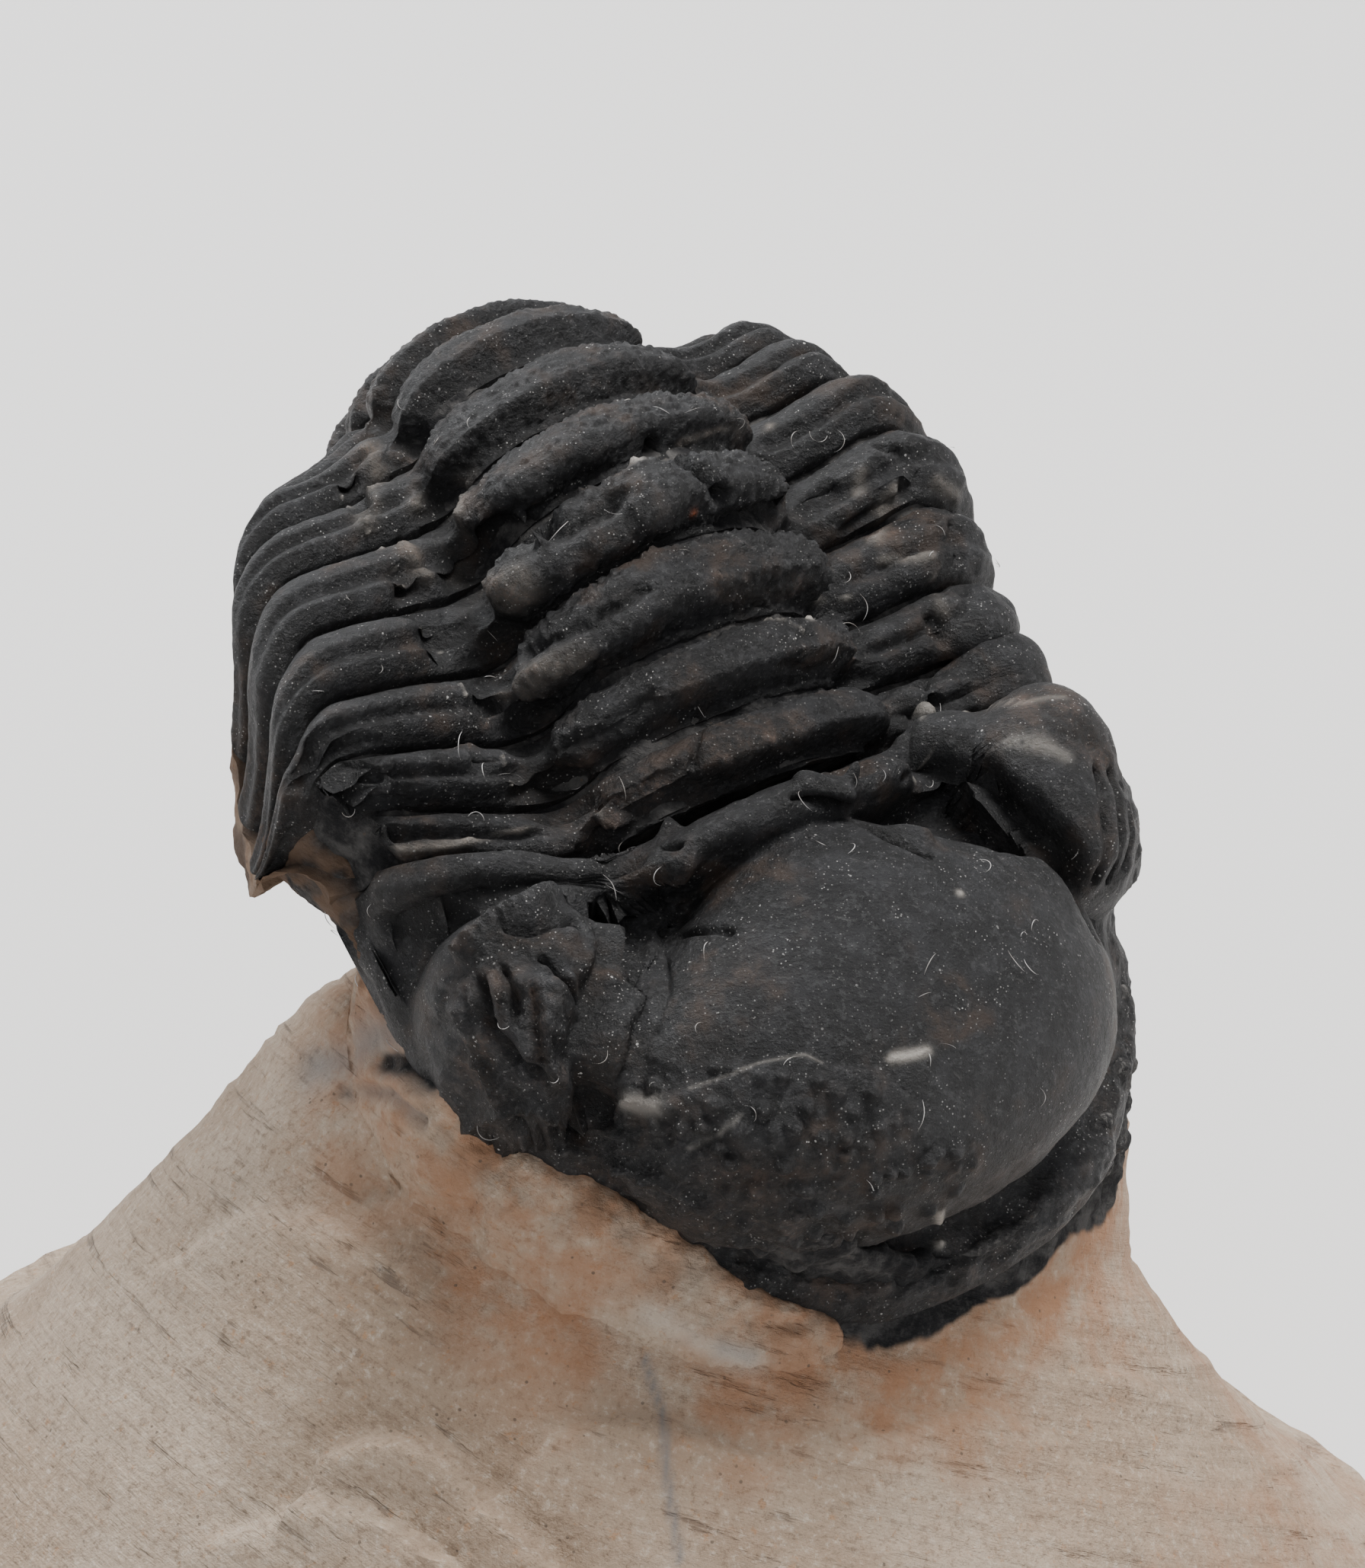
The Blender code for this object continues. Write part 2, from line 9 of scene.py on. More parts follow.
import bmesh
import bpy
import numpy as np
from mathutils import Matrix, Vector


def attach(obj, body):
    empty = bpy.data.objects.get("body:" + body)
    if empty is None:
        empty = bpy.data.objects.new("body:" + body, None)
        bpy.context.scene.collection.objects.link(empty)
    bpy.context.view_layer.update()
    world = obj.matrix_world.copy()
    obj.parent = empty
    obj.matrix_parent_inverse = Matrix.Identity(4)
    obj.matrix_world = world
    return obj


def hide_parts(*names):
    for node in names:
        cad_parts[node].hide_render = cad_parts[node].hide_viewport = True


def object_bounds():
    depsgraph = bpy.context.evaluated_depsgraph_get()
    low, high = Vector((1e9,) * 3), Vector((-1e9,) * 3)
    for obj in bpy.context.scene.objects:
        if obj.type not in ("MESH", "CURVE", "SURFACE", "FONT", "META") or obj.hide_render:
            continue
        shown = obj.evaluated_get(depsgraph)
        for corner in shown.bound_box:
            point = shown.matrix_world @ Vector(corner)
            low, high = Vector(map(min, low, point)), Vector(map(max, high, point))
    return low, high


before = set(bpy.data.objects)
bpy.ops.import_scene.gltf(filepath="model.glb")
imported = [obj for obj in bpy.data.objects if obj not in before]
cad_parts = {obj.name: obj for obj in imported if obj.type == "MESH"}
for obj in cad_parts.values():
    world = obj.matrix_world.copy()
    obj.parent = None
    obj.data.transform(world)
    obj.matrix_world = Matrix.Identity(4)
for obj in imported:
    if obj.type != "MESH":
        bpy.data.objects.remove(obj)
cad_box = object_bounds()

MM = 0.001
CENTRING = np.array([-0.408, 0.191, 0.0])

# Place and heading of the animal
HEADING = math.radians(35.0)
ACROSS = np.array([math.cos(HEADING), math.sin(HEADING), 0.0])
BACK = np.array([-math.sin(HEADING), math.cos(HEADING), 0.0])
UP = np.array([0.0, 0.0, 1.0])
HINGE = np.array([6.0, 0.5, 35.0]) + CENTRING

# Arch of the thorax
CLIMB_AT_HEAD = math.radians(36.0)
BEND_START, BEND_FULL = 11.0, 19.0
BEND_SLOW, BEND_RATE = math.radians(1.3), math.radians(7.2)
SPINE_STEP, SPINE_REACH = 0.05, 44.0
PITCHES = np.array([2.3, 2.4, 2.8, 2.9, 2.9, 2.8, 2.7, 2.5, 2.3, 2.2, 2.1])
JOINTS = np.concatenate([[0.0], np.cumsum(PITCHES)])
THORAX_END = JOINTS[-1]
TAIL_LENGTH = 6.5
TAPER_START, TAPER_REACH, TAPER = 7.0, 20.0, 0.32
DRIFT, DRIFT_REACH = 2.0, 14.0

# Cross-section of the thorax
RING_HALF, RING_RISE, RING_START, RING_GROWTH = 5.7, 3.9, 0.62, 9.0
RING_LOSS, RING_LOSS_START, RING_LOSS_REACH = 0.22, 9.0, 6.0
SPAN_START, SPAN_END, SPAN_FADE = 5.0, 17.0, 8.0
LEFT_SPREAD, SPREAD_START, SPREAD_REACH = 1.3, 7.5, 3.5
REAR_SHIFT, REAR_SHIFT_START, REAR_SHIFT_REACH = 1.0, 14.0, 10.0
REAR_SINK, REAR_SINK_START, REAR_SINK_REACH = 1.7, 17.5, 7.5
LEFT_LIFT, RIGHT_LIFT, RIGHT_LIFT_REACH, LIFT_START, LIFT_REACH = 1.2, 2.1, 14.0, 6.0, 4.5
FURROW_WIDTH, RIB_FLAT, RIB_TILT = 0.5, 4.2, math.radians(4.0)
RIB_SLOPE, SLOPE_START, SLOPE_REACH = 0.4, 8.0, 9.0
SHOULDER_RADIUS, SHOULDER_TURN, RIB_DROP = 2.4, math.radians(80.0), 4.6
DROP_START, DROP_GROWTH, DROP_LOSS, DROP_LOSS_START, DROP_LOSS_REACH = 0.45, 9.0, 0.4, 11.0, 8.0
TIP_SWEEP, SWEEP_REACH = 3.0, 11.0
LEFT_SWEEP, LEFT_SWEEP_START, LEFT_SWEEP_REACH, LEFT_SWEEP_END = 2.8, 4.5, 9.0, 10.0
BROKEN_ENDS = [-0.68, -0.73]
SHELL, PLATE_GAP = 1.4, 0.14
CORNER_BLEND, PROFILE_STEP = 0.9, 0.05

# Points on the body's grids
SECTION_ROWS, STATIONS = 320, 43
TAIL_PLACES, TAIL_TURNS = 200, 60
FILLING_PLACES, FILLING_LENGTHS, FILLING_END, FILLING_BELOW = 240, 120, 20, 90

# Rock inside the body: how far it lies in, where it starts and ends, and its ledge under the rib ends
FILLING_INSET, FILLING_START, FILLING_SHORT = 1.25, 0.3, 1.8
KEEL_DEPTH, KEEL_HALF = 9.4, 6.5
LEDGE_GAP, LEDGE_HEIGHT, LEFT_LEDGE_CUT = 0.35, 1.9, 1.6

# Head shield
HEAD_LEFT, HEAD_RIGHT, PLAN_POWER, PLAN_POWER_CHANGE = 11.9, 12.3, 2.2, 0.35
HEAD_SIDE, HEAD_LENGTH, HEAD_CENTRE = 1.5, 15.6, 6.0
RIM_LEVEL, CHEEK_RISE, CHEEK_POWER = -5.0, 5.4, 3.4
HEAD_REACH = 22.0
# Its rounded blocks: centre and radii across, ahead and upwards, and the power of their roundness
GLABELLA = (0.0, 7.5, -0.8), (8.7, 6.6, 5.0), 2.2
BACK_RING = (0.0, 1.2, -0.3), (5.9, 1.15, 3.4), 2.0
EYE = (9.5, 3.7, -1.5), (2.9, 3.5, 3.7), 2.6
HEAD_ANGLES, HEAD_RINGS, UNDER_ROWS = 400, 230, 14
RAY_DEPTH, RAY_TOP, RAY_STEPS, RAY_HALVINGS, RIM_HALVINGS = -26.0, 6.5, 70, 9, 40

# Limestone mound: eight compass values from +X turning towards +Y
MOUND_CENTRE = np.array([5.0, 5.5, 0.0]) + CENTRING
EDGE_RADIUS = [24.5, 20.5, 27.0, 27.5, 33.0, 40.0, 38.0, 29.5]
EDGE_HEIGHT = [1.6, 2.0, 3.0, 3.0, 5.2, 5.0, 5.0, 2.4]
FOOT_RADIUS = [13.3, 11.5, 11.5, 11.0, 12.6, 13.6, 14.3, 14.6]
FOOT_HEIGHT = [14.6, 9.5, 8.0, 11.0, 23.8, 28.2, 24.8, 20.3]
NECK_RADIUS = [13.1, 10.5, 9.5, 8.5, 8.5, 10.8, 12.4, 13.4]
MOUND_TOP, SLOPE_POWER = 31.0, 1.3
MOUND_ANGLES, MOUND_ROWS = 450, 190

# Camera, fitted to the photograph
IMAGE_WIDTH, IMAGE_HEIGHT = 1792.0, 2059.0
CAMERA_ELEVATION = math.radians(32.0)
CAMERA_DISTANCE, MM_PER_PIXEL = 200.0, 0.0233
CAMERA_TARGET = HINGE + np.array([-1.95, 0.32, 0.51])
SENSOR = 24.0
LENS = SENSOR * CAMERA_DISTANCE / (IMAGE_HEIGHT * MM_PER_PIXEL)
VIEW = np.array([0.0, math.cos(CAMERA_ELEVATION), -math.sin(CAMERA_ELEVATION)])
VIEW_UP = np.array([0.0, math.sin(CAMERA_ELEVATION), math.cos(CAMERA_ELEVATION)])
VIEW_RIGHT = np.array([1.0, 0.0, 0.0])
CAMERA_PLACE = CAMERA_TARGET - VIEW * CAMERA_DISTANCE

# Stage, in metres
FLOOR_SIZE, FLOOR_PLACE = 3.0, (0.0, 0.4, 0.0)
NEAR_CLIP, FAR_CLIP = 0.01, 10.0
SKY_STRENGTH = 0.29

# How grainy each ring is, from the head back
RING_GRAIN = (0.45, 0.6, 1.0, 1.0, 0.8, 0.6, 0.4)

# Surfaces: how far marks may push, the tints that a finish reads, and the closing of meshes
PUSH_LIMIT = 1.15
TINTS = ("brown", "pale", "dark", "rust", "grey")
BOX_MARGIN, JOIN_DISTANCE, SHARP_EDGE = 0.01, 2e-8, math.radians(60.0)
FIBRE_STEPS, FIBRE_SIDES = 12, 4

# Searches: a distance past everything, and how many pixels round a place in the photograph are looked at
FAR = 1e9
PICK_REACH = 9.0

# Directions of the grinding wheel's strokes at the left and the right
GRINDING = (math.radians(34.0), math.radians(17.0))


def smooth(value):
    """Smooth step from 0 to 1: three squares less two cubes."""
    step = np.clip(value, 0.0, 1.0)
    return step * step * (3.0 - 2.0 * step)


def soft_union(first, second, width):
    """Lower of two fields, rounded over a width where they cross."""
    mix = np.clip(0.5 + 0.5 * (second - first) / width, 0.0, 1.0)
    return second * (1.0 - mix) + first * mix - width * mix * (1.0 - mix)


def soft_cut(shape, tool, width):
    """Field of a shape with a tool taken out of it."""
    return -soft_union(-shape, tool, width)


def lattice(cell, seed):
    """Repeatable value from 0 to 1 for whole-number cells, by mixing their bits."""
    cell = cell.astype(np.int64).astype(np.uint32)
    mixed = cell[..., 0] * np.uint32(374761393) + cell[..., 1] * np.uint32(668265263)
    mixed = mixed + cell[..., 2] * np.uint32(2246822519) + np.uint32(seed * 40503 + 977)
    mixed = (mixed ^ (mixed >> np.uint32(13))) * np.uint32(1274126177)
    mixed = (mixed ^ (mixed >> np.uint32(15))) * np.uint32(2654435761)
    return ((mixed ^ (mixed >> np.uint32(16))) & np.uint32(0xFFFFFF)) / float(0xFFFFFF)


def noise(points, size, seed):
    """Value noise from -1 to 1: values at the corners of cubes of a size, blended by smooth steps."""
    scaled = points / size
    low = np.floor(scaled)
    step = smooth(scaled - low)
    total = 0.0
    for corner in range(8):
        offset = np.array([corner & 1, (corner >> 1) & 1, (corner >> 2) & 1])
        weight = np.prod(np.where(offset == 1, step, 1.0 - step), axis=-1)
        total = total + weight * lattice(low + offset, seed)
    return 2.0 * total - 1.0


def rough(points, size, seed, octaves=4):
    """Sum of noises, each half the size and half the height of the one before."""
    total, height = 0.0, 1.0
    for octave in range(octaves):
        total = total + height * noise(points, size * 0.5 ** octave, seed + 7 * octave)
        height *= 0.5
    return total / 1.9


def grains(points, size, seed):
    """Distance, in cell sizes, to the nearest of one random point in each cube."""
    scaled = points / size
    low = np.floor(scaled)
    nearest = np.full(points.shape[:-1], FAR)
    for shift in range(27):
        cell = low + np.array([shift % 3 - 1, (shift // 3) % 3 - 1, shift // 9 - 1])
        spot = np.stack([lattice(cell, seed + axis) for axis in range(3)], axis=-1)
        nearest = np.minimum(nearest, np.linalg.norm(cell + 0.15 + 0.7 * spot - scaled, axis=-1))
    return nearest


def spine_table():
    """Arc length, turning of the back, and the path's distance back and up, summed in small steps."""
    length = np.arange(-3.0, SPINE_REACH, SPINE_STEP)
    bent = np.clip((length - BEND_START) / (BEND_FULL - BEND_START), 0.0, 1.0)
    rate = BEND_SLOW + (BEND_RATE - BEND_SLOW) * bent
    rate = np.where((length < 0.0) | (length > THORAX_END), 0.0, rate)
    climb = CLIMB_AT_HEAD - np.cumsum(rate) * SPINE_STEP
    back = np.cumsum(np.cos(climb)) * SPINE_STEP
    rise = np.cumsum(np.sin(climb)) * SPINE_STEP
    return length, rate, climb, back - np.interp(0.0, length, back), rise - np.interp(0.0, length, rise)


SPINE = spine_table()


def on_spine(length, across, above):
    """World point at an arc length, a distance across and a height above the line of the furrows."""
    climb = np.interp(length, SPINE[0], SPINE[2])
    back = np.interp(length, SPINE[0], SPINE[3]) - above * np.sin(climb)
    rise = np.interp(length, SPINE[0], SPINE[4]) + above * np.cos(climb)
    rise = rise - REAR_SINK * smooth((length - REAR_SINK_START) / REAR_SINK_REACH)
    return HINGE + across[..., None] * ACROSS + back[..., None] * BACK + rise[..., None] * UP


def section_table():
    """Right half of the outer face: a quarter ellipse for the ring, a furrow floor, then a rib that runs
    flat, turns over the shoulder and drops to its tip. Corners are rounded by a running mean."""
    turn = np.arange(0.0, 0.5 * math.pi, 0.01)
    ring = np.stack([RING_HALF * np.sin(turn), RING_RISE * np.cos(turn)], axis=-1)
    floor_end = np.array([[RING_HALF + FURROW_WIDTH, 0.0]])
    shoulder = SHOULDER_RADIUS * SHOULDER_TURN
    run = np.arange(0.0, RIB_FLAT + shoulder + RIB_DROP, PROFILE_STEP)
    angle = RIB_TILT + SHOULDER_TURN * np.clip((run - RIB_FLAT) / shoulder, 0.0, 1.0)
    rib = np.stack([np.cumsum(np.cos(angle)), -np.cumsum(np.sin(angle))], axis=-1) * PROFILE_STEP
    points = np.concatenate([ring, floor_end, floor_end + rib])
    length = np.concatenate([[0.0], np.cumsum(np.linalg.norm(np.diff(points, axis=0), axis=1))])
    even = np.arange(0.0, length[-1], PROFILE_STEP)
    points = np.stack([np.interp(even, length, points[:, 0]), np.interp(even, length, points[:, 1])], axis=-1)
    mirrored = np.concatenate([points[:0:-1] * [-1.0, 1.0], points])
    reach = int(CORNER_BLEND / PROFILE_STEP)
    padded = np.concatenate([2 * mirrored[0] - mirrored[reach:0:-1], mirrored,
                             2 * mirrored[-1] - mirrored[-2:-reach - 2:-1]])
    mean = np.ones(reach + 1) / (reach + 1)
    across = np.convolve(padded[:, 0], mean, mode="same")[reach:-reach]
    above = np.convolve(padded[:, 1], mean, mode="same")[reach:-reach]
    slope = np.stack([np.gradient(across), np.gradient(above)], axis=-1)
    slope /= np.linalg.norm(slope, axis=1)[:, None]
    return np.linspace(-1.0, 1.0, len(across)), across, above, -slope[:, 1], slope[:, 0]


SECTION = section_table()
FURROW_AT = float(np.interp(RING_HALF + 0.3 * FURROW_WIDTH, SECTION[1], SECTION[0]))
SHOULDER_AT = float(np.interp(RING_HALF + FURROW_WIDTH + RIB_FLAT, SECTION[1], SECTION[0]))


def section_point(place, inset):
    """Distance across and height of the thorax section at a place from -1 to 1, moved inwards by an inset."""
    across = np.interp(place, SECTION[0], SECTION[1]) - inset * np.interp(place, SECTION[0], SECTION[3])
    above = np.interp(place, SECTION[0], SECTION[2]) - inset * np.interp(place, SECTION[0], SECTION[4])
    return across, above


def body_size(length):
    """Share of the full section that the body has at an arc length: it falls along a smooth step."""
    return 1.0 - TAPER * smooth((np.clip(length, 0.0, THORAX_END) - TAPER_START) / TAPER_REACH)


def drop_share(length):
    """Share of the full drop that the rib ends have: short next to the head, long in the middle, and shorter
    behind."""
    grown = DROP_START + (1.0 - DROP_START) * smooth(length / DROP_GROWTH)
    return grown - DROP_LOSS * smooth((length - DROP_LOSS_START) / DROP_LOSS_REACH)


def section_at(length, place, inset):
    """Distance across and height of the section at an arc length. Towards the tail the rings stand higher and
    the ribs slope down more."""
    beyond = np.clip(np.abs(place) - SHOULDER_AT, 0.0, None)
    place = np.sign(place) * (np.minimum(np.abs(place), SHOULDER_AT) + beyond * drop_share(length))
    across, above = section_point(place, 0.0)
    ring = RING_START + (1.0 - RING_START) * smooth(length / RING_GROWTH)
    ring = ring - RING_LOSS * smooth((length - RING_LOSS_START) / RING_LOSS_REACH)
    raised = np.where(above > 0.0, above * ring, above)
    out = np.clip(np.abs(across) - RING_HALF - FURROW_WIDTH, 0.0, None)
    raised = raised - RIB_SLOPE * smooth((length - SLOPE_START) / SLOPE_REACH) * out
    inner_across, inner_above = section_point(place, inset)
    return inner_across * body_size(length), (raised + inner_above - above) * body_size(length)


def left_sweep(across):
    """How far the plates on the left side lie back, near the head."""
    return LEFT_SWEEP * smooth((-across - LEFT_SWEEP_START) / LEFT_SWEEP_REACH)


def side_shift(length, across):
    """How far the sides are spread to the left and lifted, over the middle of the arch. The rear lies to the
    right."""
    span = smooth(length / SPAN_START) * (1.0 - smooth((length - SPAN_END) / SPAN_FADE))
    spread = LEFT_SPREAD * smooth((-across - SPREAD_START) / SPREAD_REACH) * span
    left = LEFT_LIFT * smooth((-across - LIFT_START) / LIFT_REACH)
    right = RIGHT_LIFT * smooth((across - LIFT_START) / LIFT_REACH) * smooth(length / RIGHT_LIFT_REACH)
    spread = spread - REAR_SHIFT * smooth((length - REAR_SHIFT_START) / REAR_SHIFT_REACH)
    return spread, (left + right) * span


def body_point(length, place, inset):
    """World point of the body's surface at an arc length and a place across, moved inwards by an inset. Past
    the last joint the section shrinks as a half ellipse does, and the rib ends sweep forwards."""
    across, above = section_at(length, place, inset)
    tip = section_at(length, 1.0 + 0.0 * place, 0.0)[1]
    outward = (np.abs(place) - SHOULDER_AT) / (1.0 - SHOULDER_AT)
    beyond = np.clip((length - THORAX_END) / (TAIL_LENGTH - inset), 0.0, 1.0)
    taper = np.sqrt(1.0 - beyond * beyond)
    sweep = TIP_SWEEP * smooth(outward) * smooth(length / SWEEP_REACH) * taper
    sweep = sweep - left_sweep(across) * (1.0 - smooth(length / LEFT_SWEEP_END))
    drift = DRIFT * smooth(length / DRIFT_REACH)
    spread, lift = side_shift(length, across)
    return on_spine(length - sweep, across * taper + drift - spread, tip + (above - tip) * taper + lift)


def outward_normals(grid, inner):
    """Unit normals of a grid of points, from the cross product of its two slopes, turned away from an inner
    point."""
    normal = np.cross(np.gradient(grid, axis=0), np.gradient(grid, axis=1))
    normal /= np.linalg.norm(normal, axis=-1)[..., None] + 1e-12
    facing = np.sum(normal * (grid - inner), axis=-1)
    return normal * np.where(facing < 0.0, -1.0, 1.0)[..., None]


def seen_at(points):
    """Place in the photograph, in its pixels, and distance from the camera, of world points."""
    away = points - CAMERA_PLACE
    depth = away @ VIEW
    scale = IMAGE_HEIGHT / SENSOR * LENS / depth
    return 0.5 * IMAGE_WIDTH + scale * away[..., 0], 0.5 * IMAGE_HEIGHT - scale * (away @ VIEW_UP), depth


class Skin:
    """A grid surface with its normals, how far each point is pushed, how freely it may be pushed, its tints,
    and the points that close it behind."""

    def __init__(self, name, points, inner):
        """Unpushed and untinted. Normals face away from an inner point."""
        self.name = name
        self.points = points
        self.normals = outward_normals(points, inner)
        self.push = np.zeros(points.shape[:2])
        self.freedom = np.ones(points.shape[:2])
        self.tints = {tint: np.zeros(points.shape[:2]) for tint in TINTS}
        self.closing = None

    def tint(self, name, amount):
        """Raise a tint to at least an amount."""
        self.tints[name] = np.maximum(self.tints[name], np.clip(amount, 0.0, 1.0))

    def pushed(self):
        """The points after the push, which levels off at a limit either way."""
        push = PUSH_LIMIT * np.tanh(self.push / PUSH_LIMIT) * self.freedom
        return self.points + self.normals * push[..., None]


# ---- Head ----


def to_world(across, forward, above):
    """World point of a place on the head shield: steps across, ahead and upwards from the hinge."""
    ahead = -math.cos(CLIMB_AT_HEAD) * BACK - math.sin(CLIMB_AT_HEAD) * UP
    upward = -math.sin(CLIMB_AT_HEAD) * BACK + math.cos(CLIMB_AT_HEAD) * UP
    return HINGE + across[..., None] * ACROSS + forward[..., None] * ahead + above[..., None] * upward


def outline_share(across, forward):
    """Plan of the head: straight sides at the back, then a rounded front. The rim is where the share is 1."""
    ahead = np.clip(forward - HEAD_SIDE, 0.0, None) / (HEAD_LENGTH - HEAD_SIDE)
    side = np.abs(across) / np.where(across < 0.0, HEAD_LEFT, HEAD_RIGHT)
    power = PLAN_POWER + PLAN_POWER_CHANGE * np.tanh(0.3 * across)
    return (side ** power + ahead ** power) ** (1.0 / power)


def rounded_block(across, forward, above, centre, radii, power):
    """Field of a rounded block, below 0 inside: the root of the sum of powers of the scaled distances, less
    1, times the shortest radius."""
    total = (np.abs((across - centre[0]) / radii[0]) ** power
             + np.abs((forward - centre[1]) / radii[1]) ** power
             + np.abs((above - centre[2]) / radii[2]) ** power)
    return (total ** (1.0 / power) - 1.0) * min(radii)


def head_field(across, forward, above):
    """Field of the head, below 0 inside: cheeks with a raised border and a ridge along the back, then the
    glabella, the ring behind it and the eyes as rounded blocks, all joined by soft unions."""
    side = np.abs(across)
    share = outline_share(across, forward)
    rise = CHEEK_RISE - 2.8 * smooth((forward - 5.0) / 8.0)
    height = (above - RIM_LEVEL) / rise
    fullness = share ** CHEEK_POWER
    cheeks = (fullness + np.clip(height, 0.0, None) ** CHEEK_POWER) ** (1.0 / CHEEK_POWER) - 1.0
    cheeks = cheeks * CHEEK_RISE
    crest = RIM_LEVEL + rise * np.clip(1.0 - fullness, 0.0, 1.0) ** (1.0 / CHEEK_POWER)
    swept = forward + left_sweep(across)
    back_ridge = np.hypot(swept - 1.0, above - crest + 0.1) - 0.85
    back_furrow = np.hypot((swept - 2.6) / 1.2, above - crest - 0.1) - 0.8
    rim = np.hypot((share - 0.94) * 13.0, above - RIM_LEVEL - 0.9) - 0.85
    field = soft_cut(cheeks, back_furrow, 0.3)
    field = soft_union(field, back_ridge, 0.25)
    field = soft_union(field, rim, 0.5)
    left_widening = np.where(across < 0.0, 0.7, 0.0)
    half = 4.7 + (4.0 + left_widening) * smooth((forward - 1.6) / 5.2)
    glabella = rounded_block(across * GLABELLA[1][0] / half, forward, above, *GLABELLA)
    field = soft_union(field, glabella, 0.2)
    field = soft_union(field, rounded_block(across, forward, above, *BACK_RING), 0.15)
    return soft_union(field, rounded_block(side, forward, above, *EYE), 0.15)


def head_rim(turn):
    """Plan distance from the head's centre to its rim, by halving."""
    low, high = np.zeros_like(turn), np.full_like(turn, HEAD_REACH)
    for _ in range(RIM_HALVINGS):
        middle = 0.5 * (low + high)
        across, forward = middle * np.cos(turn), HEAD_CENTRE + middle * np.sin(turn)
        behind = (forward - PLATE_GAP + left_sweep(across)) / 12.0
        inside = -soft_union(1.0 - outline_share(across, forward), behind, 0.06) < 0.0
        low, high = np.where(inside, middle, low), np.where(inside, high, middle)
    return low


def head_skin():
    """The head's outer face: rays fan out from a deep point through a polar plan grid, step down to the
    first point inside the head's field, and halve the last step. The last rows run on under the rim."""
    turn = np.linspace(0.0, 2.0 * math.pi, HEAD_ANGLES, endpoint=False)[None, :]
    share = np.linspace(0.0, 1.0, HEAD_RINGS)[:, None] ** 0.92
    reach = share * head_rim(turn)
    target = np.stack([reach * np.cos(turn), HEAD_CENTRE + reach * np.sin(turn), RIM_LEVEL + 0.0 * reach],
                      axis=-1)
    origin = np.array([0.0, HEAD_CENTRE, RAY_DEPTH])
    ray = target - origin
    top = (RAY_TOP - RAY_DEPTH) / (RIM_LEVEL - RAY_DEPTH)
    steps = np.linspace(top, 1.0, RAY_STEPS)
    found = np.ones_like(reach)
    waiting = np.ones(reach.shape, dtype=bool)
    for step in steps:
        point = origin + ray[waiting] * step
        hit = head_field(point[:, 0], point[:, 1], point[:, 2]) < 0.0
        index = np.flatnonzero(waiting)[hit]
        found.flat[index] = step
        waiting.flat[index] = False
    low, high = found.copy(), found + (steps[0] - steps[1])
    for _ in range(RAY_HALVINGS):
        middle = 0.5 * (low + high)
        point = origin + ray * middle[..., None]
        inside = head_field(point[..., 0], point[..., 1], point[..., 2]) < 0.0
        low, high = np.where(inside, middle, low), np.where(inside, high, middle)
    low[-1] = 1.0
    point = origin + ray * low[..., None]
    point[..., 1] = np.maximum(point[..., 1], PLATE_GAP - left_sweep(point[..., 0]))
    skin = Skin("head_shield_shell", to_world(point[..., 0], point[..., 1], point[..., 2]),
                to_world(np.zeros(1), np.array([HEAD_CENTRE]), np.array([RIM_LEVEL - 4.0])))
    skin.freedom = smooth((1.0 - share + 0.0 * turn) / 0.02)
    skin.plan = point
    under = np.linspace(1.0, 0.0, UNDER_ROWS)[1:, None, None]
    middle_plan = np.array([0.0, HEAD_CENTRE, RIM_LEVEL])
    flat = middle_plan + (target[-1] - middle_plan) * under
    skin.closing = to_world(flat[..., 0], flat[..., 1], flat[..., 2])
    return skin


# ---- Thorax and tail ----


def station_inset(station, place, ring_front, ring_back, groove):
    """How far the outer face lies in from the section at a station from 0 (front) to 1 (back). Rings are sunk
    in front and roll down behind, and ribs roll at both edges and carry a groove along their length."""
    on_ring = smooth((FURROW_AT + 0.02 - np.abs(place)) / 0.04)
    sunk = ring_front * (1.0 - smooth((station - 0.1) / 0.26))
    ring = sunk + ring_back * np.clip((station - 0.55) / 0.45, 0, 1) ** 2.4
    rib = 0.85 * np.abs(2.0 * station - 1.0) ** 2.6
    along = smooth((np.abs(place) - FURROW_AT - 0.01) / 0.05)
    along = along * (1.0 - smooth((np.abs(place) - SHOULDER_AT) / 0.2))
    rib = rib + groove * along * np.exp(-((station - 0.4) / 0.1) ** 2)
    return on_ring * ring + (1.0 - on_ring) * rib


